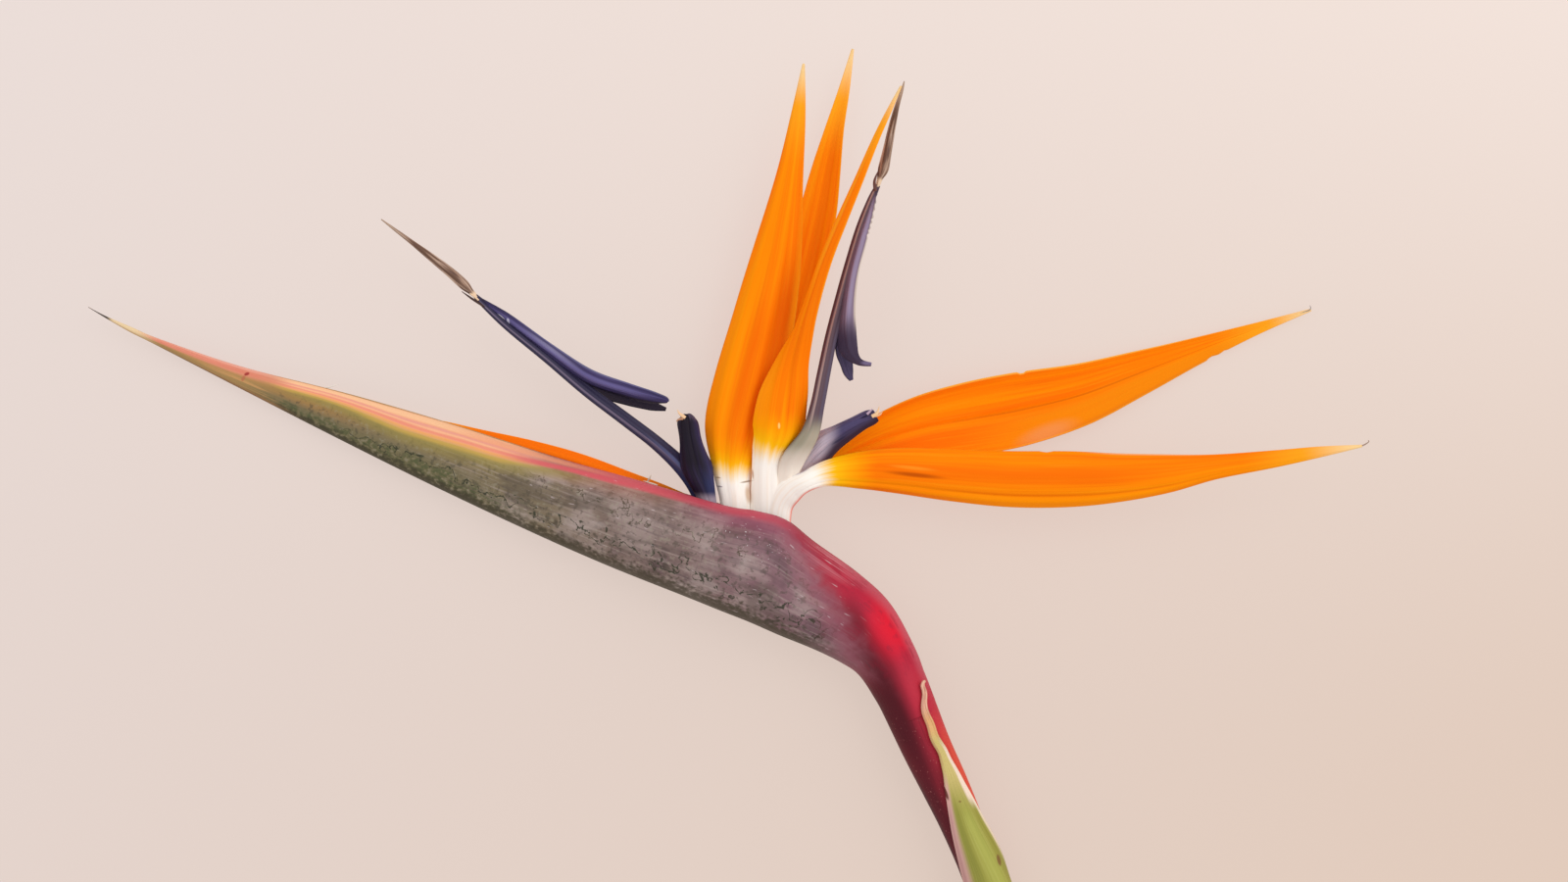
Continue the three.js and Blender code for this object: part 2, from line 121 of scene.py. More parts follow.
world = bpy.data.worlds.new("studio")
world.use_nodes = True
world.node_tree.nodes["Background"].inputs["Color"].default_value = paint("fffdfb")
world.node_tree.nodes["Background"].inputs["Strength"].default_value = STUDIO_STRENGTH
bpy.context.scene.world = world

# Each softbox: its place and its side in metres, and its power in watts.
SOFTBOXES = {
    "softbox_right": ((1.3, 0.6, 1.5), 1.8, 15.0),
    "softbox_left": ((-1.2, 0.9, 1.5), 1.4, 5.0),
}
for softbox_name, (softbox_place, softbox_size, softbox_watts) in SOFTBOXES.items():
    softbox_light = bpy.data.lights.new(softbox_name, "AREA")
    softbox_light.shape = "SQUARE"
    softbox_light.size = softbox_size
    softbox_light.energy = softbox_watts
    softbox = bpy.data.objects.new(softbox_name, softbox_light)
    softbox.location = softbox_place
    softbox.rotation_euler = (-Vector(softbox_place)).to_track_quat("-Z", "Y").to_euler()
    bpy.context.scene.collection.objects.link(softbox)


# ---- Stalk ----
# The peduncle is a solid fleshy maroon stalk, with painted shade on its left side and painted light, red to
# orange, on its right side.
# Inside the spathe it goes on, slimmer, as the axis that the florets stand on. Its lower end is
# cut across, so the pale flesh with its dots of fibre shows there.

# Rows of x, y, z and radius: the stalk from the spathe to its cut end, and the axis towards it.
STALK = [
    [36.5, -18.9, 8.5, 6.75],
    [39.8, -25.4, 8.3, 6.2],
    [45.0, -37.5, 8.0, 5.6],
    [49.2, -46.3, 7.7, 5.3],
    [53.2, -55.1, 7.4, 4.9],
    [57.3, -65.1, 7.1, 4.7],
    [61.7, -78.3, 6.6, 4.6],
    [66.8, -97.1, 6.0, 4.6],
    [71.5, -117.0, 5.5, 4.6],
]
FLORAL_AXIS = [
    [-1.0, 0.9, 9.3, 2.6],
    [11.0, -1.5, 9.3, 3.4],
    [20.9, -4.6, 9.2, 4.2],
    [30.0, -10.3, 8.9, 4.6],
    [36.7, -18.5, 8.5, 4.7],
]
# Every grid holds the number of its segments across and along.
STALK_GRID = (48, 160)
SHOULDER_SHARE = 0.3
CUT_EDGE_MM = 0.25
CUT_CENTRE = tuple(STALK[-1][:3])
SMALL_STEP = 1e-4
MIDLINE_STEPS = 200
LOWEST_MM = 0.05


def through(rows):
    """A smooth run through rows of numbers: share 0 gives the first row and 1 the last."""
    table = np.array(rows, float)
    last = len(table) - 1

    def run(shares):
        places = np.clip(np.asarray(shares, float), 0, 1) * last
        start = np.minimum(places.astype(int), last - 1)
        weight = (places - start)[:, None]
        before, here = table[np.maximum(start - 1, 0)], table[start]
        there, after = table[start + 1], table[np.minimum(start + 2, last)]
        slope_here, slope_there = (there - before) / 2, (after - here) / 2
        cubic = (2 * here - 2 * there + slope_here + slope_there) * weight**3
        square = (3 * there - 3 * here - 2 * slope_here - slope_there) * weight**2
        return cubic + square + slope_here * weight + here

    return run


def unit(vectors):
    """The vectors' directions, each of length 1."""
    return vectors / np.maximum(np.linalg.norm(vectors, axis=1, keepdims=True), 1e-12)


def axes_at(run, shares):
    """At each share of a run: its direction, its right, and out of its upper side."""
    along = unit(run(shares + SMALL_STEP)[:, :3] - run(shares - SMALL_STEP)[:, :3])
    right = unit(np.cross(along, (0.0, 0.0, 1.0)))
    return along, right, np.cross(right, along)


def sheet_of(across, lengthwise, place, lowest=LOWEST_MM):
    """A grid bent into its shape by place(), with its own coordinates kept as the map "along":
    across from -1 to 1, and the distance from its start as a share of its length. No part of it
    is lower than lowest, because the flower lies on the floor."""
    form = bmesh.new()
    form.loops.layers.uv.new("along")
    bmesh.ops.create_grid(form, x_segments=across, y_segments=lengthwise, size=1, calc_uvs=True)
    corners = np.array([corner.co for corner in form.verts])
    sides, shares = corners[:, 0], (corners[:, 1] + 1) / 2
    spots = place(sides, shares)
    spots[:, 2] = np.maximum(spots[:, 2], lowest)
    steps = np.linspace(0, 1, MIDLINE_STEPS)
    midline = place(np.zeros(MIDLINE_STEPS), steps)
    walked = np.concatenate([[0], np.cumsum(np.linalg.norm(np.diff(midline, axis=0), axis=1))])
    mapping = form.loops.layers.uv["along"]
    for face in form.faces:
        for loop in face.loops:
            side, share = loop.vert.co.x, (loop.vert.co.y + 1) / 2
            loop[mapping].uv = (side, np.interp(share, steps, walked) / walked[-1])
    for corner, spot in zip(form.verts, spots):
        corner.co = Vector(spot) * MM
    return form, walked[-1]


def close_tube(form):
    """Joins the long seam of a rolled-up sheet and closes its two ends."""
    bmesh.ops.remove_doubles(form, verts=form.verts, dist=SMALL_STEP * MM)
    ends = [edge for edge in form.edges if edge.is_boundary]
    bmesh.ops.holes_fill(form, edges=ends, sides=0)
    bmesh.ops.recalc_face_normals(form, faces=form.faces)


def rod_form(rows, around, rings, flutes=0, flute_depth=0.0):
    """A flattened rod along rows of x, y, z, half width and half depth, or a round one along rows
    of x, y, z and radius. It has so many flutes round it, as deep as a share of its radius."""
    run = through(rows)

    def place(sides, shares):
        values = run(shares)
        _, right, out = axes_at(run, shares)
        turn = sides * math.pi
        wide, deep = values[:, 3], values[:, -1]
        flute = 1 + flute_depth * np.cos(turn * flutes) if flutes else 1.0
        reach_right = (wide * np.sin(turn) * flute)[:, None]
        reach_out = (deep * np.cos(turn) * flute)[:, None]
        return values[:, :3] + right * reach_right + out * reach_out

    form, length = sheet_of(around, rings, place)
    close_tube(form)
    return form, length


def finished(name, form, *materials):
    """The piece of that form as an object at the origin, with smooth shading."""
    mesh = bpy.data.meshes.new(name)
    form.to_mesh(mesh)
    form.free()
    for material in materials:
        mesh.materials.append(material)
    mesh.polygons.foreach_set("use_smooth", [True] * len(mesh.polygons))
    piece = bpy.data.objects.new(name, mesh)
    bpy.context.scene.collection.objects.link(piece)
    return piece


class Finish:
    """A plant skin painted in coats, over a base colour, on a piece's own coordinates."""

    def __init__(self, name, base, length, roughness=0.5, gloss=0.25):
        self.material = bpy.data.materials.new(name)
        self.material.use_nodes = True
        self.tree = self.material.node_tree
        self.shader = self.tree.nodes["Principled BSDF"]
        self.shader.inputs["Roughness"].default_value = roughness
        self.shader.inputs["Specular IOR Level"].default_value = gloss
        own_map = self.tree.nodes.new("ShaderNodeUVMap")
        own_map.uv_map = "along"
        own = self.tree.nodes.new("ShaderNodeSeparateXYZ")
        self.tree.links.new(own_map.outputs[0], own.inputs[0])
        self.across = own.outputs[0]
        self.along = self.math("MULTIPLY", own.outputs[1], length)
        place = self.tree.nodes.new("ShaderNodeTexCoord")
        self.object_place = place.outputs["Object"]
        self.place_mm = self.vector("SCALE", self.object_place, None, None, 1 / MM)
        parts = self.tree.nodes.new("ShaderNodeSeparateXYZ")
        self.tree.links.new(self.place_mm, parts.inputs[0])
        self.x, self.y, self.z = parts.outputs
        self.colour = paint(base)
        self.height = None

    def node(self, kind, *given, output=0, **settings):
        """A shader node fed with what is given, in the order of its sockets. None leaves one alone."""
        made = self.tree.nodes.new("ShaderNode" + kind)
        for setting, value in settings.items():
            setattr(made, setting, value)
        for socket, value in zip(made.inputs, given):
            if isinstance(value, bpy.types.NodeSocket):
                self.tree.links.new(value, socket)
            elif value is not None:
                socket.default_value = value
        return made.outputs[output]

    def math(self, operation, *given):
        return self.node("Math", *given, operation=operation)

    def vector(self, operation, *given):
        output = 1 if operation == "LENGTH" else 0
        return self.node("VectorMath", *given, output=output, operation=operation)

    def fade(self, value, start, end):
        """0 where value is at start, 1 where it is at end, soft between. Start may be the larger."""
        return self.node("MapRange", value, start, end, 0.0, 1.0, interpolation_type="SMOOTHSTEP")

    def between(self, value, low, high, soft):
        """1 where value lies from low to high, 0 outside, soft at both ends."""
        rise = self.fade(value, low - soft, low + soft)
        fall = self.fade(value, high + soft, high - soft)
        return self.math("MULTIPLY", rise, fall)

    def overlap(self, *masks):
        """Where all the masks are: their product."""
        whole = masks[0]
        for mask in masks[1:]:
            whole = self.math("MULTIPLY", whole, mask)
        return whole

    def grain(self, lines, stretch, seed, detail=2.0):
        """Noise drawn out along the piece: so many lines over its half breadth."""
        sideways = self.math("MULTIPLY", self.across, lines)
        lengthwise = self.math("MULTIPLY", self.along, stretch)
        place = self.node("CombineXYZ", sideways, lengthwise, seed)
        return self.node("TexNoise", place, None, 1.0, detail)

    def mottle(self, size, seed, detail=3.0, distortion=0.0):
        """Noise in the round, with lumps of about that size in millimetres."""
        place = self.vector("ADD", self.place_mm, (seed, seed * 2.0, seed * 3.0))
        return self.node("TexNoise", place, None, 1 / size, detail, 0.5, 2.0, 0, 0, distortion)

    def spot(self, centre, reach, turn=0.0, soft=0.5):
        """An oval mark at a place on the flower, seen from above and at any height."""
        bounds = (centre[0], centre[1], 0.0), (0.0, 0.0, math.radians(turn)), (*reach, 1e4)
        oval = self.node("Mapping", self.place_mm, *bounds, vector_type="TEXTURE")
        return self.fade(self.vector("LENGTH", oval), 1.0, 1.0 - soft)

    def coat(self, colour, strength, *masks):
        """Lays a colour over what is there, where all the masks let it through."""
        mask = self.overlap(*masks)
        if strength != 1:
            mask = self.math("MULTIPLY", mask, strength)
        self.colour = self.node("MixRGB", mask, self.colour, paint(colour))

    def raise_by(self, value, millimetres):
        """Lifts the skin's fine relief by that much where value is 1."""
        part = self.math("MULTIPLY", value, millimetres)
        self.height = part if self.height is None else self.math("ADD", self.height, part)

    def done(self):
        """Links the colour and the relief to the shader, and gives the finished material."""
        if isinstance(self.colour, bpy.types.NodeSocket):
            self.tree.links.new(self.colour, self.shader.inputs["Base Color"])
        else:
            self.shader.inputs["Base Color"].default_value = self.colour
        if self.height is not None:
            bump = self.node("Bump", 1.0, MM, None, self.height)
            self.tree.links.new(bump, self.shader.inputs["Normal"])
        return self.material


def bend_reds_light_and_shade(skin, to_right, upper):
    """The reds that run from the spathe's bend down the stalk without a seam, with painted light on the
    outer side and painted shade on the inner side.
    To_right is -1 on the inner, shaded side and 1 on the outer side. Upper is 0 where these reds end."""
    skin.coat("7c1c2c", 1, upper)
    # Painted light on the outer side of the bend and below it.
    skin.coat("b4213c", 0.9, upper, skin.fade(to_right, 0.0, 0.45))
    skin.coat("d9142f", 1, skin.spot((36.8, -11.0), (6.6, 11.5), 24, 0.95))
    skin.coat("b92c40", 1, upper, skin.fade(to_right, -0.2, 0.45), skin.fade(skin.y, -16, -24))
    # Painted shade on the inner side: a dark maroon band, grey-mauve over the bend and dark maroon lower
    # down.
    inner_shade_band = skin.between(to_right, -0.75, -0.25, 0.22)
    skin.coat("461019", 0.85, upper, inner_shade_band, skin.fade(skin.y, -10, -18))
    skin.coat("6d1826", 0.5, upper, skin.spot((29.0, -8.0), (3.6, 7.0), 20, 0.9))
    skin.coat("7a585f", 0.9, upper, skin.fade(to_right, -0.3, -0.7), skin.fade(skin.y, -24, -13))
    skin.coat("521520", 0.95, upper, skin.fade(to_right, 0.0, -0.5), skin.fade(skin.y, -17, -25))
    skin.coat("c0606f", 0.6, upper, skin.fade(to_right, 0.66, 0.96), skin.between(skin.y, -22, 4, 6))


def stalk_skin(length):
    """Maroon, with painted light in red to orange on the right side, painted shade on the left, and olive
    towards the cut. The axis in the spathe is pale.
    """
    skin = Finish("stalk_skin", "85222f", length, roughness=0.5, gloss=0.12)
    around = skin.math("MULTIPLY", skin.across, -math.pi)
    to_right = skin.math("SINE", around)
    # Painted light on the right side, painted shade on the left side, darkest at its left edge.
    skin.coat("b32b35", 1, skin.fade(to_right, -0.1, 0.5))
    skin.coat("5a1a24", 1, skin.fade(to_right, -0.1, -0.6))
    skin.coat("4a2229", 0.8, skin.fade(to_right, -0.84, -0.98))
    bend_reds_light_and_shade(skin, to_right, skin.fade(skin.y, -50, -32))
    # A strip of painted light in orange down the right side below the bend.
    skin.coat("dc4f38", 0.9, skin.fade(to_right, 0.45, 0.85), skin.fade(skin.y, -26, -42))
    skin.coat("a9a257", 0.8, skin.fade(skin.y, -74, -112))
    skin.coat("f3eada", 1, skin.fade(skin.x, 34, 26))
    fine = skin.grain(34.0, 0.12, 3.0)
    skin.coat("3d1018", 0.3, skin.fade(fine, 0.52, 0.75))
    skin.coat("d98a84", 0.35, skin.fade(skin.mottle(0.5, 3.0, 1.0), 0.68, 0.78))
    skin.raise_by(fine, 0.06)
    return skin.done()


def cut_flesh():
    """The cut end: pale green flesh, a darker rind and scattered dots of fibre."""
    flesh = Finish("cut_flesh", "cfd39a", 1.0, roughness=0.55)
    cells = flesh.node("TexVoronoi", flesh.place_mm, None, 1.15, feature="F1")
    flesh.coat("8f8a4d", 0.8, flesh.fade(cells, 0.3, 0.16))
    ring = flesh.vector("SUBTRACT", flesh.place_mm, CUT_CENTRE)
    flesh.coat("8a3a3c", 0.8, flesh.fade(flesh.vector("LENGTH", ring), 4.0, 4.5))
    flesh.raise_by(cells, 0.15)
    return flesh.done()


def stalk_place(axis_run, stalk_run):
    """Where the axis inside the spathe ends, the stalk begins with a square shoulder."""

    def place(sides, shares):
        inner = shares < SHOULDER_SHARE
        axis_share = np.clip(shares / SHOULDER_SHARE, 0, 1)
        stalk_share = np.clip((shares - SHOULDER_SHARE) / (1 - SHOULDER_SHARE), 0, 1)
        values = np.where(inner[:, None], axis_run(axis_share), stalk_run(stalk_share))
        _, axis_right, axis_out = axes_at(axis_run, axis_share)
        _, stalk_right, stalk_out = axes_at(stalk_run, stalk_share)
        right = np.where(inner[:, None], axis_right, stalk_right)
        out = np.where(inner[:, None], axis_out, stalk_out)
        turn = (sides * math.pi)[:, None]
        radius = values[:, 3:4]
        return values[:, :3] + right * radius * np.sin(turn) + out * radius * np.cos(turn)

    return place


stalk_form, stalk_length = sheet_of(*STALK_GRID, stalk_place(through(FLORAL_AXIS), through(STALK)))
close_tube(stalk_form)
for stalk_face in stalk_form.faces:
    if len(stalk_face.verts) > 4:
        stalk_face.material_index = 1
stalk_rim = [edge for face in stalk_form.faces if len(face.verts) > 4 for edge in face.edges]
bmesh.ops.bevel(
    stalk_form,
    geom=stalk_rim,
    offset=CUT_EDGE_MM * MM,
    segments=2,
    profile=0.5,
    affect="EDGES",
    material=-1,
)
stalk = finished("stalk", stalk_form, stalk_skin(stalk_length), cut_flesh())
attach(stalk, "root")
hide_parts("peduncle")


# ---- Sheath bract ----
# The topmost sheath is a thin leaf wrapped round the stalk. It is green with long veins, has
# papery pink and white margins, and runs out in a dry twisted tip.

# Rows down the stalk: the place on it as a share of its length, and the angles of both margins.
SHEATH = [
    [0.12, 46, 48],
    [0.15, 53, 60],
    [0.20, 60, 73],
    [0.25, 57, 74],
    [0.31, 52, 76],
    [0.38, 47, 92],
    [0.45, 40, 108],
    [0.52, 30, 123],
    [0.60, 8, 138],
    [0.67, -20, 152],
    [0.76, -60, 180],
    [0.88, -85, 215],
    [1.00, -100, 235],
]
SHEATH_GRID = (64, 150)
SHEATH_AIR_MM = 0.7
SHEATH_THICKNESS = 0.5
TIP_TWIST_DEG = 3.0
TIP_TWIST_WAVES = 60
RIB_MM = 0.04
RIB_WAVES = 19
MARGIN_LIFT_MM = 0.5
TIP_LIFT_MM = 0.7
# How fast the tip's twist and its lift die out down the sheath.
TIP_TWIST_FADE = 2.2
TIP_LIFT_FADE = 9


def sheath_place(sides, shares):
    """Round the stalk from margin to margin, ribbed, with its tip twisted and standing off."""
    stalk_run, margins = through(STALK), through(SHEATH)(shares)
    twisted = np.clip(1 - shares * TIP_TWIST_FADE, 0, 1)
    curl = TIP_TWIST_DEG * np.sin(shares * TIP_TWIST_WAVES) * twisted
    angle = np.radians(curl + margins[:, 1] + (margins[:, 2] - margins[:, 1]) * (sides + 1) / 2)
    values = stalk_run(margins[:, 0])
    _, right, out = axes_at(stalk_run, margins[:, 0])
    ribs = RIB_MM * np.cos(sides * RIB_WAVES) * (1 - sides**2)
    lift = MARGIN_LIFT_MM * np.abs(sides) ** 6 * (1 - shares)
    lift = lift + TIP_LIFT_MM * np.clip(1 - shares * TIP_LIFT_FADE, 0, 1)
    radius = values[:, 3] + SHEATH_AIR_MM + ribs + lift
    reach_right = (radius * np.cos(angle))[:, None]
    reach_out = (radius * np.sin(angle))[:, None]
    return values[:, :3] - right * reach_right + out * reach_out


def sheath_skin(length):
    """Green with pale veins, straw-coloured and pink at the dry tip, papery at the margins."""
    skin = Finish("sheath_skin", "979240", length, roughness=0.5, gloss=0.12)
    veins = skin.grain(15.0, 0.04, 8.0)
    fine = skin.grain(30.0, 0.2, 4.0)
    skin.coat("b0ab62", 0.5, skin.fade(veins, 0.5, 0.66))
    skin.coat("838236", 0.5, skin.fade(veins, 0.48, 0.36))
    skin.coat("87863a", 0.4, skin.fade(fine, 0.55, 0.7))
    skin.coat("d3bf7c", 0.85, skin.fade(skin.y, -53, -42))
    skin.coat("dfaf78", 1, skin.fade(skin.y, -37, -33))
    skin.coat("e6b69c", 1, skin.fade(skin.y, -32, -28))
    skin.coat("b9796c", 0.6, skin.fade(skin.y, -34, -29), skin.fade(fine, 0.5, 0.62))
    # Painted light along the middle of the green and painted shade towards one side.
    skin.coat("b3b75c", 0.55, skin.between(skin.across, -0.4, 0.15, 0.25), skin.fade(skin.y, -46, -56))
    skin.coat("85863f", 0.6, skin.between(skin.across, 0.3, 0.6, 0.2), skin.fade(skin.y, -46, -56))
    skin.coat("cfa09c", 0.9, skin.fade(skin.across, 0.54, 0.8), skin.fade(skin.y, -42, -48))
    skin.coat("a87779", 0.6, skin.between(skin.across, 0.82, 0.96, 0.08), skin.fade(skin.y, -48, -54))
    # Painted shadow in the slit between the papery margin and the green body.
    skin.coat("5d2b22", 0.95, skin.spot((49.3, -47.8), (0.5, 2.4), 22))
    skin.coat("f3dccb", 0.95, skin.fade(skin.across, -0.45, -0.7), skin.between(skin.y, -50, -37, 2))
    skin.coat("efd9c4", 0.85, skin.fade(skin.across, -0.8, -0.95), skin.between(skin.y, -62, -46, 4))
    skin.coat("a86a5c", 0.5, skin.fade(skin.across, 0.9, 1.0), skin.between(skin.y, -42, -26, 3))
    skin.coat("7c5a33", 0.9, skin.spot((61.4, -63.2), (0.55, 1.7), 15))
    skin.coat("7c5a33", 0.7, skin.spot((52.6, -49.9), (0.4, 0.3)))
    skin.coat("97602f", 0.6, skin.spot((47.6, -39.4), (0.3, 1.0), 20))
    skin.raise_by(veins, 0.08)
    return skin.done()


def thicken(piece, millimetres, offset=0.0):
    """Gives a leaf its thickness, to both sides of its sheet unless offset says otherwise."""
    solid = piece.modifiers.new("thickness", "SOLIDIFY")
    solid.thickness = millimetres * MM
    solid.offset = offset
    return solid


sheath_form, sheath_length = sheet_of(*SHEATH_GRID, sheath_place, SHEATH_THICKNESS / 2 + LOWEST_MM)
sheath = finished("sheath", sheath_form, sheath_skin(sheath_length))
thicken(sheath, SHEATH_THICKNESS)
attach(sheath, "root")
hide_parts("sheath_bract")


# ---- Spathe ----
# The spathe is one stiff bract folded along its keel into a boat with a long beak. Its skin is
# grey-mauve with a waxy bloom, olive towards the beak and crimson at the bend and the margins.

# Rows from the beak to the base: keel x and y, margin x and y, height of the middle, thickness of
# the closed spathe, and half the width of its slit.
SPATHE = [
    [-143.6, 60.9, -143.6, 61.0, 3.9, 0.35, 0.03],
    [-139.9, 58.6, -139.8, 59.0, 3.6, 0.8, 0.05],
    [-134.4, 55.4, -134.0, 56.5, 3.3, 1.5, 0.1],
    [-128.2, 52.3, -127.6, 53.8, 3.1, 2.2, 0.2],
    [-110.6, 43.2, -108.9, 47.5, 2.6, 3.6, 0.3],
    [-88.5, 31.9, -84.1, 41.2, 3.3, 6.4, 0.7],
    [-66.3, 20.9, -59.4, 34.0, 4.6, 9.6, 1.1],
    [-44.1, 10.5, -37.1, 26.9, 6.2, 13.0, 1.5],
    [-26.5, 2.8, -18.7, 21.8, 7.7, 16.0, 2.7],
    [-8.8, -4.2, -0.4, 16.5, 9.0, 18.6, 4.3],
    [-1.1, -7.3, 7.0, 15.2, 9.4, 19.4, 4.4],
    [5.5, -9.9, 13.6, 13.2, 9.5, 19.6, 3.7],
    [12.1, -12.8, 20.2, 8.1, 9.4, 19.2, 0.4],
    [20.2, -16.1, 29.7, 1.3, 9.1, 17.4, 0.15],
    [26.4, -19.2, 37.0, -5.6, 8.8, 15.2, 0.15],
    [30.1, -21.9, 42.4, -15.2, 8.5, 13.8, 0.15],
    [33.6, -27.1, 45.0, -22.0, 8.35, 12.8, 0.1],
    [37.3, -33.7, 47.3, -29.3, 8.2, 11.0, 0.05],
]
SPATHE_GRID = (104, 260)
SPATHE_WALL_MM = 1.2
SPATHE_LIP_MM = 0.8
# The wall thins towards the beak. These are shares of its full thickness: the least, and what
# each millimetre of the spathe's width gives.
THINNEST_WALL = 0.03
WALL_BY_WIDTH = 0.2


def spathe_place(sides, shares):
    """Round each row from one margin over the keel to the other margin. The slit and the lips on
    both sides of it keep the margins apart."""
    values = through(SPATHE)(shares)
    keel, margin = values[:, 0:2], values[:, 2:4]
    height, width, slit = values[:, 4], values[:, 5], values[:, 6]
    lip = np.minimum(SPATHE_LIP_MM, width / 4)
    angle = math.pi * np.abs(sides)
    rise = (1 - np.cos(angle)) / 2
    swell = width / 2 * np.sin(angle) + (slit + lip) * rise
    ground = keel + (margin - keel) * rise[:, None]
    return np.column_stack([ground, height + np.sign(sides) * swell])


def beak_coats(skin, rise, streaks):
    """The closed beak: a dark dry point, then cream, then salmon above and tan below."""
    beak = skin.between(skin.x, -134, -102, 6)
    skin.coat("a98857", 1, skin.fade(skin.x, -98, -112))
    salmon_end = skin.node("MapRange", skin.x, -128.0, -98.0, 0.46, 0.68)
    climbed = skin.math("SUBTRACT", rise, salmon_end)
    skin.coat("bd8a56", 0.6, beak, skin.fade(climbed, -0.2, 0.0))
    skin.coat("e58d77", 0.95, beak, skin.fade(climbed, -0.08, 0.14))
    skin.coat("d27a60", 0.7, beak, skin.fade(streaks, 0.52, 0.38), skin.fade(climbed, 0.0, 0.2))
    skin.coat("eeb09c", 0.7, beak, skin.fade(rise, 0.82, 0.97))
    skin.coat("d9a068", 0.7, beak, skin.fade(streaks, 0.5, 0.62), skin.fade(rise, 0.6, 0.3))
    skin.coat("7b5a3a", 0.8, skin.fade(rise, 0.16, 0.04), skin.between(skin.x, -128, -100, 7))
    skin.coat("efd3a6", 1, skin.fade(skin.x, -127, -134))
    skin.coat("b98f5c", 0.7, skin.fade(rise, 0.4, 0.1), skin.fade(skin.x, -128, -133))
    skin.coat("4f443d", 1, skin.fade(skin.x, -138.0, -139.6))
    skin.coat("a33d37", 1, skin.spot((-107.8, 45.9), (0.8, 0.45), 20))
    skin.coat("b8604c", 0.6, skin.spot((-108.6, 44.9), (0.5, 0.9), -30))


def band_coats(skin, band, visible):
    """The pale band under the margin. Band is 0 at the margin and 1 where the band ends."""
    tints = [
        (0.0, 1.0, 0.06, "f3a985"),
        (0.06, 0.34, 0.08, "f7c497"),
        (0.40, 0.48, 0.05, "e59a8e"),
        (0.50, 0.58, 0.05, "f5b78f"),
        (0.62, 0.74, 0.06, "ea8d76"),
        (0.78, 0.90, 0.06, "eba460"),
        (0.92, 1.15, 0.12, "c2a050"),
        (-0.3, 0.04, 0.03, "b8905a"),
    ]
    for low, high, soft, tint in tints:
        skin.coat(tint, 0.9, visible, skin.between(band, low, high, soft))


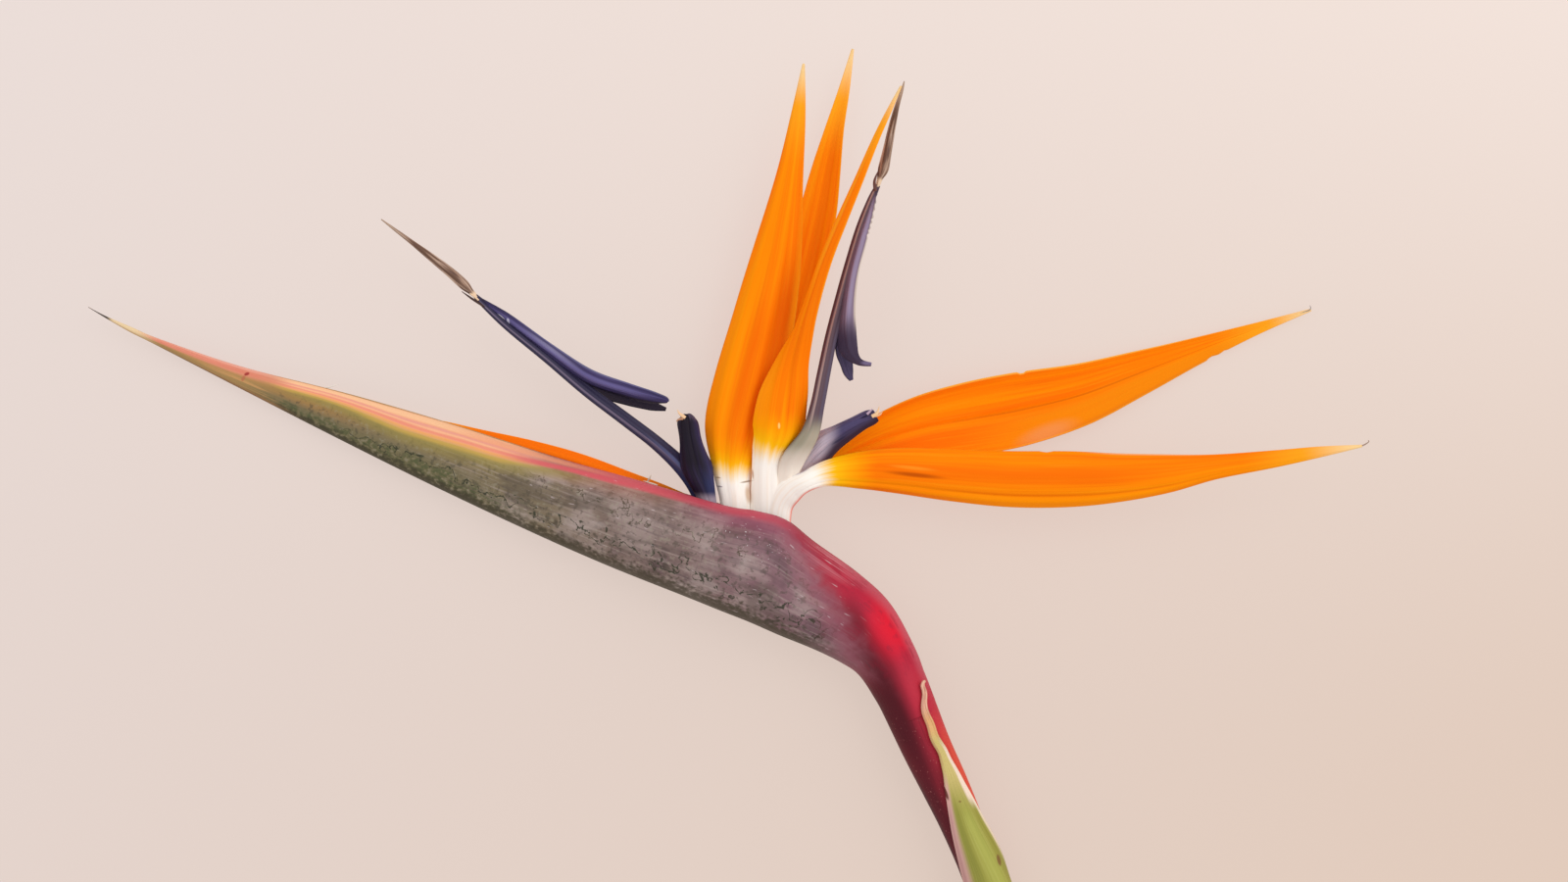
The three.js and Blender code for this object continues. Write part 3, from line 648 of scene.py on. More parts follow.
def spathe_skin(length):
    """The outer skin, painted from its ground colours up to its smallest marks."""
    skin = Finish("spathe_skin", "7f6b66", length, roughness=0.5, gloss=0.12)
    share = skin.math("ABSOLUTE", skin.across)
    cosine = skin.math("COSINE", skin.math("MULTIPLY", share, math.pi))
    rise = skin.math("MULTIPLY_ADD", cosine, -0.5, 0.5)
    to_right = skin.math("MULTIPLY", cosine, -1.0)
    left_to_climb = skin.math("SUBTRACT", 1.0, rise)
    depth = skin.node("MapRange", skin.x, -143.0, -12.0, 0.3, 22.5)
    below = skin.math("MULTIPLY", left_to_climb, depth)
    fine = skin.grain(46.0, 0.06, 1.0, 3.0)
    streaks = skin.grain(14.0, 0.04, 6.0, 3.0)
    cloud = skin.mottle(9.0, 2.0)
    lumps = skin.mottle(3.6, 7.0, 4.0, 0.6)
    specks = skin.mottle(1.1, 4.0, 3.0)

    # The skin from the middle to the beak turns from mauve-grey to olive and to tan.
    skin.coat("88656e", 0.9, skin.fade(skin.x, -16, 12))
    skin.coat("7f715a", 1, skin.fade(skin.x, -18, -46))
    skin.coat("82724a", 0.9, skin.fade(skin.x, -40, -66), skin.fade(rise, 0.32, 0.6))
    skin.coat("756c4e", 0.9, skin.fade(skin.x, -44, -64), skin.fade(rise, 0.5, 0.25))
    skin.coat("a07b4b", 0.9, skin.fade(skin.x, -74, -96), skin.fade(rise, 0.25, 0.5))
    skin.coat("ab9894", 0.55, skin.fade(cloud, 0.45, 0.65), skin.between(skin.x, -52, 16, 10))
    skin.coat("5c464c", 0.6, skin.fade(cloud, 0.48, 0.34), skin.between(skin.x, -34, 28, 10))
    skin.coat("ab9a94", 0.42, skin.fade(fine, 0.52, 0.66), skin.between(skin.x, -64, 26, 10))
    skin.coat("4e4348", 0.35, skin.fade(fine, 0.47, 0.34), skin.between(skin.x, -64, 26, 10))
    skin.coat("9c9684", 0.35, skin.fade(specks, 0.56, 0.68), skin.between(skin.x, -92, 0, 8))
    skin.coat("48453a", 0.5, skin.fade(specks, 0.45, 0.34), skin.between(skin.x, -104, 24, 8))

    drift = skin.grain(5.0, 0.07, 15.0, 4.0)
    skin.coat("b3a29e", 0.5, skin.fade(drift, 0.52, 0.66), skin.between(skin.x, -50, 22, 12))
    skin.coat("554a42", 0.5, skin.fade(drift, 0.47, 0.36), skin.between(skin.x, -88, 26, 12))

    # Green patches, a jagged scar and a dark ragged keel line.
    wander = skin.math("MULTIPLY_ADD", lumps, 0.75, -0.375)
    low_side = skin.math("ADD", rise, wander)
    green = skin.overlap(skin.between(low_side, -0.1, 0.25, 0.08), skin.between(skin.x, -106, -48, 10))
    skin.coat("555a3c", 0.9, green, skin.fade(fine, 0.34, 0.52), skin.fade(specks, 0.62, 0.46))
    scar = skin.math("ABSOLUTE", skin.math("SUBTRACT", low_side, 0.27))
    scarred = skin.overlap(skin.fade(scar, 0.026, 0.01), skin.between(skin.x, -86, 24, 5))
    skin.coat("35392a", 0.9, scarred, skin.fade(specks, 0.4, 0.5))
    upper_scar = skin.math("ABSOLUTE", skin.math("SUBTRACT", low_side, 0.62))
    upper_scarred = skin.overlap(skin.fade(upper_scar, 0.014, 0.005), skin.between(skin.x, -62, 20, 8))
    skin.coat("47402f", 0.8, upper_scarred, skin.fade(cloud, 0.5, 0.56))
    ragged = skin.math("MULTIPLY_ADD", specks, 0.3, -0.15)
    keel_side = skin.math("ADD", rise, ragged)
    skin.coat("443e2e", 0.85, skin.fade(keel_side, 0.17, 0.05), skin.between(skin.x, -104, 22, 8))
    blots = skin.overlap(skin.fade(lumps, 0.6, 0.68), skin.between(rise, 0.06, 0.3, 0.06))
    skin.coat("3f3a30", 0.6, blots, skin.between(skin.x, -70, 26, 6))

    # The margin glows red at the flower's foot, then yellow-olive towards the beak.
    skin.coat("a8705f", 0.6, skin.fade(below, 6.5, 1.5), skin.between(skin.x, -46, -14, 10))
    skin.coat("8f4d62", 0.75, skin.fade(below, 7.0, 2.0), skin.fade(skin.x, -16, 4))
    skin.coat("c2465a", 0.85, skin.fade(below, 2.5, 0.7), skin.fade(skin.x, -30, -10))
    wider = skin.math("MULTIPLY_ADD", skin.between(skin.x, -81, -44, 11), 1.7, 2.6)
    limit = skin.math("MULTIPLY", wider, skin.fade(skin.x, -116, -99))
    wavy = skin.math("MULTIPLY_ADD", streaks, 0.3, -0.15)
    band = skin.math("ADD", skin.math("DIVIDE", below, limit), wavy)
    paler = skin.between(skin.x, -104, -44, 7)
    skin.coat("99894c", 0.8, skin.between(band, 0.85, 1.5, 0.4), skin.between(skin.x, -98, -34, 9))
    band_coats(skin, band, paler)
    skin.coat("da5f66", 0.85, skin.between(band, 0.5, 0.9, 0.12), skin.between(skin.x, -47, -24, 7))
    skin.coat("d65763", 0.8, skin.fade(band, 0.95, 0.6), skin.between(skin.x, -34, -10, 8))
    skin.coat("ee9a78", 0.7, skin.between(band, 0.1, 0.4, 0.12), skin.between(skin.x, -58, -30, 8))
    beak_coats(skin, rise, streaks)

    # Over the bend lie the reds that run on down the stalk, with their painted light and shade, then pale
    # streaks, painted glints and scratches.
    outward = skin.math("MULTIPLY_ADD", skin.x, 0.905, skin.math("MULTIPLY", skin.y, 0.425))
    uneven = skin.math("MULTIPLY_ADD", lumps, 5.0, outward)
    bend = skin.math("MAXIMUM", skin.fade(uneven, 19.5, 27.0), skin.fade(skin.y, -17, -28))
    skin.coat("96475a", 0.6, skin.fade(uneven, 15.0, 22.0))
    bend_reds_light_and_shade(skin, to_right, bend)

    blotched = skin.overlap(bend, skin.fade(lumps, 0.5, 0.64), skin.fade(skin.y, -28, -16))
    skin.coat("8c1f35", 0.4, blotched, skin.fade(fine, 0.6, 0.45))
    skin.coat("cf929b", 0.55, skin.spot((23.5, 3.6), (10.0, 3.2), -36, 0.9), skin.fade(fine, 0.4, 0.6))
    # Painted glints: tiny white sparkles near the bend.
    glints = skin.node("TexVoronoi", skin.place_mm, None, 1.3, feature="F1")
    painted_glints = skin.overlap(skin.fade(glints, 0.13, 0.08), skin.spot((5.0, 9.0), (13.0, 6.0), -28, 0.6))
    skin.coat("f2edee", 0.9, painted_glints, skin.fade(specks, 0.42, 0.5))
    scratches = skin.grain(60.0, 0.4, 21.0, 1.0)
    skin.coat("d8c8cc", 0.4, skin.fade(scratches, 0.68, 0.78), skin.between(skin.x, -50, 30, 6))
    skin.raise_by(fine, 0.07)
    skin.raise_by(specks, 0.06)
    return skin.done()


def inner_skin(length):
    """The inner side of the spathe is smooth and pale, pink under the margins."""
    skin = Finish("spathe_inner_skin", "d9a995", length, roughness=0.5)
    skin.coat("c76a6a", 0.6, skin.fade(skin.x, -60, 0))
    lines = skin.grain(24.0, 0.05, 12.0)
    skin.coat("efd2b0", 0.6, skin.fade(lines, 0.5, 0.66))
    skin.raise_by(lines, 0.1)
    return skin.done()


spathe_form, spathe_length = sheet_of(*SPATHE_GRID, spathe_place)
bmesh.ops.reverse_faces(spathe_form, faces=spathe_form.faces)
spathe = finished("spathe_leaf", spathe_form, spathe_skin(spathe_length), inner_skin(spathe_length))
spathe_flesh = spathe.vertex_groups.new(name="flesh")
spathe_solid = thicken(spathe, SPATHE_WALL_MM, -1.0)
spathe_solid.material_offset = 1
spathe_solid.vertex_group = "flesh"
spathe_keel_x = [row[0] for row in SPATHE]
spathe_widths = [row[5] for row in SPATHE]
for spathe_corner in spathe.data.vertices:
    spathe_width = np.interp(spathe_corner.co.x / MM, spathe_keel_x, spathe_widths)
    spathe_wall = min(1.0, max(THINNEST_WALL, spathe_width * WALL_BY_WIDTH))
    spathe_flesh.add([spathe_corner.index], spathe_wall, "REPLACE")
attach(spathe, "root")
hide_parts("spathe")


# ---- Floret necks ----
# Each floret stands on a short fleshy neck that grows out of the floral axis. Both are white
# and mostly hidden in the spathe.

# Rows from the axis up: x, y, z, half width and half depth.
NECKS = {
    "floret_1_neck": [
        [2.0, 0.9, 9.4, 3.0, 3.0],
        [1.7, 5.0, 9.4, 3.8, 3.4],
        [1.3, 9.3, 9.5, 4.9, 3.9],
    ],
    "floret_2_neck": [
        [11.0, -0.4, 9.4, 2.8, 3.0],
        [10.8, 4.4, 9.4, 3.1, 3.4],
        [10.6, 8.8, 9.5, 3.7, 3.9],
    ],
}
NECK_GRID = (40, 20)
NECK_FLUTES = (9, 0.03)


def neck_skin(name, length):
    """White flesh with fine cream lines."""
    skin = Finish(name + "_skin", "fbf1e6", length, roughness=0.5, gloss=0.1)
    fine = skin.grain(12.0, 0.2, 5.0)
    skin.coat("e2cdb4", 0.6, skin.fade(fine, 0.5, 0.7))
    skin.raise_by(fine, 0.12)
    return skin.done()


for neck_node, neck_rows in NECKS.items():
    neck_form, neck_length = rod_form(neck_rows, *NECK_GRID, *NECK_FLUTES)
    neck = finished(neck_node + "_flesh", neck_form, neck_skin(neck_node, neck_length))
    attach(neck, "root")
    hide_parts(neck_node)


# ---- Sepals ----
# Six satin orange blades, each pleated along its length. They are white and fleshy at the foot,
# turn yellow and then orange, and end in a pale point. One still lies in the spathe's slit.

# Rows from foot to point: x, y, z, breadth, bow and roll in degrees.
SEPALS = {
    "floret_1_sepal_front": [
        [2.3, 8.9, 11.8, 8.2, 66, 0],
        [2.2, 17.2, 11.9, 8.4, 65, 0],
        [1.6, 24.2, 11.9, 10.4, 60, 0],
        [2.7, 33.4, 11.8, 16.4, 50, 0],
        [5.3, 44.4, 11.7, 17.6, 48, 0],
        [8.6, 58.3, 11.5, 15.6, 48, 0],
        [11.7, 73.0, 11.5, 12.1, 45, 0],
        [14.4, 89.7, 11.7, 6.9, 45, 0],
        [16.3, 103.3, 12.0, 3.6, 40, 0],
        [17.6, 115.3, 12.5, 0.5, 30, 0],
    ],
    "floret_1_sepal_rear": [
        [3.2, 8.9, 7.2, 5.4, -70, 0],
        [3.8, 17.6, 6.9, 5.8, -65, 0],
        [5.9, 24.6, 5.6, 7.8, -50, 0],
        [8.8, 33.9, 4.6, 9.8, -42, 0],
        [11.7, 44.5, 3.9, 10.7, -40, 0],
        [15.0, 57.8, 3.5, 10.8, -38, 0],
        [18.3, 71.0, 3.5, 9.9, -36, 0],
        [20.8, 82.1, 3.7, 8.8, -35, 0],
        [22.7, 91.8, 4.0, 6.9, -35, 0],
        [24.7, 101.5, 4.5, 4.4, -35, 0],
        [26.7, 109.8, 4.7, 2.6, -30, 0],
        [28.7, 119.1, 5.0, 0.5, -25, 0],
    ],
    "floret_1_sepal_in_slit": [
        [-1.8, 8.9, 6.4, 4.6, 30, 0],
        [-6.4, 14.3, 6.5, 5.5, 25, 0],
        [-13.2, 17.1, 7.4, 6.8, 20, 0],
        [-22.0, 20.0, 8.1, 7.8, 15, 0],
        [-33.1, 24.0, 7.4, 8.0, 12, 0],
        [-44.1, 27.3, 6.5, 7.4, 12, 0],
        [-55.2, 30.4, 5.4, 6.0, 10, 0],
        [-64.1, 33.5, 4.4, 3.8, 10, 0],
        [-71.9, 36.5, 3.8, 0.5, 8, 0],
    ],
    "floret_2_sepal_upright": [
        [9.4, 8.9, 11.0, 8.8, 30, 8],
        [9.7, 17.2, 11.5, 8.6, 32, 6],
        [9.7, 23.8, 12.6, 8.0, 42, -4],
        [10.5, 28.4, 14.1, 9.8, 50, -12],
        [12.0, 33.0, 15.5, 12.8, 48, -8],
        [13.0, 40.6, 16.3, 11.8, 42, 2],
        [14.5, 48.7, 16.7, 9.0, 42, 28],
        [16.7, 56.2, 17.1, 8.4, 42, 58],
        [19.1, 63.6, 17.5, 8.0, 38, 68],
        [22.0, 71.9, 17.9, 7.0, 35, 68],
        [25.6, 80.4, 18.5, 5.8, 32, 66],
        [29.3, 88.7, 19.3, 4.4, 30, 64],
        [33.3, 97.8, 20.1, 2.9, 26, 60],
        [36.6, 104.5, 20.7, 1.6, 22, 50],
        [39.3, 109.8, 21.3, 0.3, 20, 40],
    ],
    "floret_2_sepal_rear": [
        [11.4, 8.9, 6.9, 5.0, -55, 0],
        [12.6, 16.2, 6.7, 5.0, -50, 0],
        [15.8, 20.4, 6.1, 5.2, -48, 0],
        [21.6, 24.4, 5.5, 6.2, -45, 0],
        [29.1, 28.6, 4.9, 9.0, -42, 0],
        [36.4, 31.5, 4.3, 12.8, -40, 0],
        [45.2, 34.0, 3.5, 16.0, -40, 0],
        [55.2, 35.9, 2.5, 17.9, -42, 0],
        [66.3, 37.9, 1.5, 18.2, -44, 0],
        [79.6, 41.1, 0.6, 15.6, -44, 0],
        [92.9, 46.0, 0.4, 11.2, -42, 0],
        [106.2, 51.1, 0.7, 6.6, -40, 0],
        [119.5, 56.0, 1.3, 2.9, -35, 0],
        [132.2, 60.4, 1.9, 0.5, -25, 0],
    ],
    "floret_2_sepal_front": [
        [11.8, 8.9, 11.5, 5.8, 26, 0],
        [12.2, 15.8, 11.8, 6.0, 28, 0],
        [14.5, 19.5, 13.2, 6.0, 32, 0],
        [18.0, 21.7, 14.7, 5.0, 45, 0],
        [23.1, 23.6, 15.1, 6.6, 52, 0],
        [30.7, 24.2, 15.3, 9.8, 56, 0],
        [39.5, 24.0, 15.8, 12.2, 58, 0],
        [50.4, 23.2, 16.0, 14.0, 60, 0],
        [63.6, 22.4, 16.0, 15.0, 60, 0],
        [76.7, 22.3, 16.1, 14.8, 60, 0],
        [87.6, 22.5, 16.5, 12.8, 58, 0],
        [98.5, 23.4, 16.9, 10.1, 55, 0],
        [109.4, 25.0, 17.5, 6.3, 50, 0],
        [122.5, 26.8, 18.3, 4.2, 45, 0],
        [132.2, 28.3, 18.9, 2.6, 40, 0],
        [142.0, 29.7, 19.5, 0.5, 30, 0],
    ],
}
SEPAL_GRID = (44, 240)
SEPAL_THICKNESS = 0.55
SEPAL_MARGIN = 0.35
SEPAL_WAVE_MM = 0.18
BLADE_WAVES = 17

# Nicks in the margins: the side, the share of the length, and the nick's length and depth.
NICKS = {
    "floret_2_sepal_rear": [
        (-1, 0.627, 0.005, 0.06),
        (1, 0.862, 0.005, 0.14),
        (1, 0.878, 0.003, 0.1),
    ],
    "floret_2_sepal_front": [(-1, 0.575, 0.005, 0.07)],
}

# Pleats of each sepal: the place across it from -1 to 1, how broad it is there, and its height
# in millimetres, negative for a groove.
PLEATS = {
    "floret_1_sepal_front": [
        (-0.62, 0.12, 0.35),
        (-0.3, 0.14, -0.4),
        (0.12, 0.12, 0.4),
        (0.4, 0.1, -0.3),
        (0.66, 0.12, 0.3),
    ],
    "floret_1_sepal_rear": [(-0.3, 0.15, 0.25), (0.35, 0.15, -0.3)],
    "floret_1_sepal_in_slit": [(0.0, 0.2, -0.3), (0.5, 0.15, 0.2)],
    "floret_2_sepal_upright": [(-0.35, 0.14, 0.3), (0.1, 0.12, -0.35), (0.45, 0.14, 0.3)],
    "floret_2_sepal_rear": [(0.02, 0.07, -0.5), (-0.4, 0.2, 0.15), (0.5, 0.2, 0.15)],
    "floret_2_sepal_front": [
        (-0.5, 0.15, 0.15),
        (0.1, 0.15, -0.12),
        (0.55, 0.07, -0.3),
        (0.72, 0.12, 0.2),
    ],
}


def blade_place(rows, pleats=(), wave=0.0, seed=0.0, nicks=()):
    """A bowed blade along rows of x, y, z, breadth, bow and roll, pleated along its length. Nicks
    in its margins are given as the side, the share of the length, and their length and depth."""
    run = through(rows)

    def bowed(sides, shares):
        values = run(shares)
        along, right, out = axes_at(run, shares)
        bow = np.radians(values[:, 4])
        radius = values[:, 3] / 2 / bow
        sideways = right * (radius * np.sin(sides * bow))[:, None]
        sag = out * (radius * (np.cos(sides * bow) - 1))[:, None]
        roll = np.radians(-values[:, 5])[:, None]
        bent = sideways + sag
        return values[:, :3] + bent * np.cos(roll) + np.cross(along, bent) * np.sin(roll)

    def place(sides, shares):
        across = bowed(sides + SMALL_STEP, shares) - bowed(sides - SMALL_STEP, shares)
        further, nearer = np.minimum(shares + SMALL_STEP, 1), np.maximum(shares - SMALL_STEP, 0)
        lengthwise = bowed(sides, further) - bowed(sides, nearer)
        normal = unit(np.cross(across, lengthwise))
        for side, middle, reach, depth in nicks:
            bite = depth * np.exp(-(((shares - middle) / reach) ** 4))
            bite = bite * np.clip(sides * side, 0, 1) ** 6
            sides = sides * (1 - bite)
        breadth = run(shares)[:, 3] / max(row[3] for row in rows)
        lift = np.zeros(len(sides))
        for middle, reach, height in pleats:
            lift += height * np.exp(-(((sides - middle) / reach) ** 2))
        lift *= breadth * np.sin(math.pi * np.clip(shares, 0, 1)) ** 0.5
        lift += wave * breadth * np.abs(sides) ** 3 * np.sin(shares * BLADE_WAVES + seed + sides)
        return bowed(sides, shares) + normal * lift[:, None]

    return place


def thin_margins(piece, margin_share):
    """A blade is fleshy along its middle, and its margins keep that share of its thickness."""
    group = piece.vertex_groups.new(name="flesh")
    mapping = piece.data.uv_layers["along"].data
    for loop in piece.data.loops:
        side = abs(mapping[loop.index].uv[0])
        group.add([loop.vertex_index], 1 - (1 - margin_share) * side**3, "REPLACE")
    solid = piece.modifiers["thickness"]
    solid.vertex_group = "flesh"


# Where each sepal turns from white to yellow and from yellow to orange, and where its pale
# point begins: the place along it in millimetres from its foot.
SEPAL_TURNS = {
    "floret_1_sepal_front": (13.5, 18.0, 98.0),
    "floret_1_sepal_rear": (13.0, 19.0, 101.0),
    "floret_1_sepal_in_slit": (2.0, 7.0, 70.0),
    "floret_2_sepal_upright": (18.0, 24.5, 97.0),
    "floret_2_sepal_rear": (8.0, 24.0, 126.0),
    "floret_2_sepal_front": (19.5, 27.0, 127.0),
}


def sepal_skin(name, length):
    """The blade's skin. Its own marks, with their painted light and shade, come before its foot turns
    yellow and white.
    """
    white_end, orange_start, point_start = SEPAL_TURNS[name]
    skin = Finish(name + "_skin", "ff8200", length, roughness=0.6, gloss=0.05)
    seed = float(len(name)) + white_end
    broad = skin.grain(2.2, 0.01, seed, 1.5)
    streak = skin.grain(9.0, 0.02, seed + 3, 2.0)
    fine = skin.grain(30.0, 0.05, seed + 7, 2.0)
    skin.coat("f96c00", 0.6, skin.fade(broad, 0.48, 0.68))
    skin.coat("ff9800", 0.55, skin.fade(broad, 0.5, 0.32))
    skin.coat("f86c00", 0.38, skin.fade(streak, 0.52, 0.68))
    skin.coat("ff9800", 0.34, skin.fade(streak, 0.48, 0.35))
    skin.coat("ec6600", 0.26, skin.fade(fine, 0.55, 0.67))
    skin.coat("ffa41c", 0.22, skin.fade(fine, 0.43, 0.32))
    SEPAL_MARKS_AND_SHADING[name](skin)
    ragged = skin.math("MULTIPLY_ADD", streak, 5.0, -2.5)
    foot = skin.math("ADD", skin.along, ragged)
    skin.coat("ffa000", 0.8, skin.fade(foot, orange_start + 6, orange_start))
    skin.coat("ffc20e", 1, skin.fade(foot, orange_start + 2, white_end + 1.5))
    skin.coat("fff9f1", 1, skin.fade(foot, white_end + 4.0, white_end - 1.5))
    skin.coat("f8e2cc", 0.35, skin.fade(streak, 0.52, 0.64), skin.fade(foot, white_end, white_end - 4))
    skin.coat("ffae20", 0.7, skin.fade(skin.along, point_start - 14, point_start + 2))
    skin.coat("fbd79a", 0.9, skin.fade(skin.along, point_start, length - 0.5))
    edge = skin.fade(skin.math("ABSOLUTE", skin.across), 0.94, 1.0)
    skin.coat("ffae28", 0.5, edge, skin.fade(skin.along, orange_start, orange_start + 8))
    return skin, fine, streak


def left_front_light_and_shade(skin):
    """Painted light along its left side and on its pale right margin, and painted shade in two deeper
    pleats.
    """
    belly = skin.between(skin.y, 26, 70, 12)
    skin.coat("ff9600", 0.7, skin.between(skin.across, -0.95, -0.5, 0.2), belly)
    skin.coat("f76a00", 0.7, skin.between(skin.across, -0.3, 0.1, 0.2), skin.between(skin.y, 34, 60, 8))
    skin.coat("e65e00", 0.75, skin.between(skin.across, 0.3, 0.8, 0.2), skin.between(skin.y, 40, 68, 8))
    skin.coat("ff9a0a", 0.6, skin.fade(skin.across, 0.7, 0.95), skin.between(skin.y, 56, 100, 8))


def left_rear_light_and_shade(skin):
    """Deeper orange of painted shade towards the front sepal, which covers it, and painted light at the
    left margin.
    """
    skin.coat("ee6600", 0.7, skin.between(skin.across, 0.0, 0.5, 0.2), skin.fade(skin.y, 54, 76))
    skin.coat("ff9a0a", 0.5, skin.fade(skin.across, -0.3, -0.7), skin.fade(skin.y, 70, 84))


def slit_tint_and_shade(skin):
    """Redder towards the slit, and darkened to brown by painted shade near its foot, where it goes into the
    spathe.
    """
    skin.coat("ff6f08", 0.8, skin.fade(skin.across, -0.2, 0.5))
    skin.coat("c9701c", 0.85, skin.fade(skin.x, -26, -10))


def upright_light_and_shade(skin):
    """Soft streaks of painted shade on the belly, and painted light on a fold above it and along its left
    side.
    """
    skin.coat("fb7800", 0.8, skin.between(skin.across, -0.3, 0.35, 0.25), skin.between(skin.y, 42, 56, 6))
    skin.coat("ff960c", 0.6, skin.fade(skin.across, -0.4, -0.8), skin.between(skin.y, 30, 66, 8))
    skin.coat("ffa21c", 0.6, skin.between(skin.across, -0.2, 0.3, 0.2), skin.fade(skin.y, 60, 76))


def upper_right_marks_light_and_shade(skin):
    """A midrib line of painted shadow, painted shade below it and at the lower margin, a pale rubbed patch,
    and painted light at the upper margin.
    """
    skin.coat("f18a06", 0.85, skin.fade(skin.across, 0.04, 0.3), skin.fade(skin.x, 50, 74))
    midrib = skin.between(skin.across, -0.01, 0.05, 0.035)
    skin.coat("c85c00", 0.65, midrib, skin.between(skin.x, 52, 124, 14))
    skin.coat("d8741a", 0.5, skin.fade(skin.across, 0.78, 0.98), skin.between(skin.x, 74, 118, 10))
    skin.coat("ee9450", 0.8, skin.spot((72.5, 32.6), (9.5, 2.8), 20, 0.8))
    skin.coat("f7c890", 0.9, skin.spot((62.5, 46.4), (6.5, 0.8), 10, 0.6))
    skin.coat("ffb84c", 0.8, skin.fade(skin.across, -0.93, -1.0), skin.between(skin.x, 44, 104, 8))


def lower_right_marks_and_shade(skin):
    """Broad soft streaks, a groove darkened by painted shade, a thin dark brown line with a paler line
    beside it near the foot, and a pale margin.
    """
    skin.coat("f46a00", 0.65, skin.between(skin.across, -0.35, 0.25, 0.3), skin.between(skin.x, 30, 92, 12))
    skin.coat("ff9400", 0.8, skin.fade(skin.across, 0.45, 0.72), skin.between(skin.x, 50, 100, 14))
    skin.coat("e06000", 0.4, skin.between(skin.across, 0.47, 0.54, 0.06), skin.between(skin.x, 50, 92, 12))
    skin.coat("b84a00", 0.85, skin.spot((42.6, 23.2), (8.8, 0.75), -6, 0.8))
    skin.coat("ff9a24", 0.6, skin.spot((42.0, 24.8), (7.0, 0.6), -6, 0.8))
    skin.coat("f9c8a0", 0.9, skin.fade(skin.across, -0.88, -1.0), skin.between(skin.x, 84, 104, 6))


# Each sepal's own marks, and the light and shade painted on it.
SEPAL_MARKS_AND_SHADING = {
    "floret_1_sepal_front": left_front_light_and_shade,
    "floret_1_sepal_rear": left_rear_light_and_shade,
    "floret_1_sepal_in_slit": slit_tint_and_shade,
    "floret_2_sepal_upright": upright_light_and_shade,
    "floret_2_sepal_rear": upper_right_marks_light_and_shade,
    "floret_2_sepal_front": lower_right_marks_and_shade,
}
# The three sepals whose white feet show above the spathe.
CLAWED_SEPALS = ("floret_1_sepal_front", "floret_2_sepal_upright", "floret_2_sepal_front")


def foot_marks(skin):
    """Small tears and shades on the white feet, each at its place on the flower."""
    skin.coat("d3b394", 0.8, skin.spot((5.2, 18.8), (1.0, 2.8), 8, 0.7))
    skin.coat("8d6a4c", 0.8, skin.spot((4.8, 21.7), (1.9, 0.28), 10, 0.7))
    skin.coat("a5805f", 0.8, skin.spot((-1.6, 22.6), (0.9, 0.25), -8, 0.7))
    skin.coat("6f5a70", 0.7, skin.spot((-1.2, 20.6), (0.9, 0.25), -5, 0.7))
    skin.coat("b87a50", 0.7, skin.spot((6.2, 23.4), (0.3, 1.6), 4, 0.7))
    skin.coat("ffdf84", 0.7, skin.spot((12.1, 34.2), (0.35, 0.9), 0, 0.6))
    low = skin.fade(skin.y, 25, 24)
    skin.coat("f3705c", 0.9, low, skin.fade(skin.across, 0.74, 0.98), skin.between(skin.x, 13.5, 21, 2))
    skin.coat("a79caf", 0.7, low, skin.fade(skin.across, -0.75, -0.97), skin.between(skin.x, 15.6, 20, 1.2))


for sepal_node, sepal_rows in SEPALS.items():
    sepal_nicks = NICKS.get(sepal_node, ())
    sepal_seed = len(sepal_rows)
    sepal_bend = blade_place(sepal_rows, PLEATS[sepal_node], SEPAL_WAVE_MM, sepal_seed, sepal_nicks)
    sepal_form, sepal_length = sheet_of(*SEPAL_GRID, sepal_bend, SEPAL_THICKNESS / 2 + LOWEST_MM)
    sepal_finish, sepal_fine, sepal_streak = sepal_skin(sepal_node, sepal_length)
    if sepal_node in CLAWED_SEPALS:
        foot_marks(sepal_finish)
    sepal_finish.raise_by(sepal_fine, 0.03)
    sepal_finish.raise_by(sepal_streak, 0.07)
    sepal = finished(sepal_node + "_blade", sepal_form, sepal_finish.done())
    thicken(sepal, SEPAL_THICKNESS)
    thin_margins(sepal, SEPAL_MARGIN)
    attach(sepal, "root")
    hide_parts(sepal_node)


# ---- Nectary petals ----
# The third petal of each floret is short and folded over its nectar. It is deep violet-blue,
# greyish at the foot, and its tip ends in a frayed cream-coloured scrap.

# Rows from foot to tip: x, y, z, breadth, bow and roll in degrees.
NECTARY_PETALS = {
    "floret_1_nectary_petal": [
        [-2.4, 8.9, 12.1, 3.8, 50, 0],
        [-4.0, 17.6, 12.4, 4.8, 60, 0],
        [-6.0, 23.6, 13.3, 8.6, 75, 0],
        [-6.9, 27.0, 13.7, 8.4, 78, 0],
        [-7.9, 31.4, 13.8, 6.6, 78, 0],
        [-8.4, 34.8, 13.7, 5.9, 76, 0],
        [-8.6, 36.2, 13.5, 4.4, 70, 0],
        [-8.7, 36.8, 13.3, 2.2, 60, 0],
    ],
    "floret_2_nectary_petal": [
        [12.6, 8.9, 8.9, 2.4, 50, 0],
        [14.0, 18.0, 9.0, 2.6, 50, 0],
        [17.9, 24.9, 11.4, 6.4, 62, 0],
        [21.6, 29.2, 13.0, 8.6, 74, 0],
        [25.9, 32.4, 13.2, 6.8, 80, 0],
        [29.9, 34.7, 12.9, 5.0, 78, 0],
        [32.6, 36.0, 12.9, 4.6, 72, 0],
        [33.8, 36.6, 12.9, 3.0, 60, 0],
    ],
}
NECTARY_GRID = (36, 90)
NECTARY_PLEATS = [(0.1, 0.1, -0.4), (-0.35, 0.12, 0.25)]
NECTARY_WAVE_MM = 0.2
NECTARY_SEED = 2.0
PETAL_THICKNESS = 0.55
PETAL_MARGIN = 0.5


def nectary_skin(name, base, length):
    """The ground that both nectary petals share, with its streaks and fine lines."""
    skin = Finish(name + "_skin", base, length, roughness=0.5, gloss=0.14)
    streak = skin.grain(5.0, 0.08, 4.0)
    fine = skin.grain(22.0, 0.15, 9.0)
    skin.raise_by(fine, 0.08)
    skin.raise_by(streak, 0.2)
    return skin, streak, fine


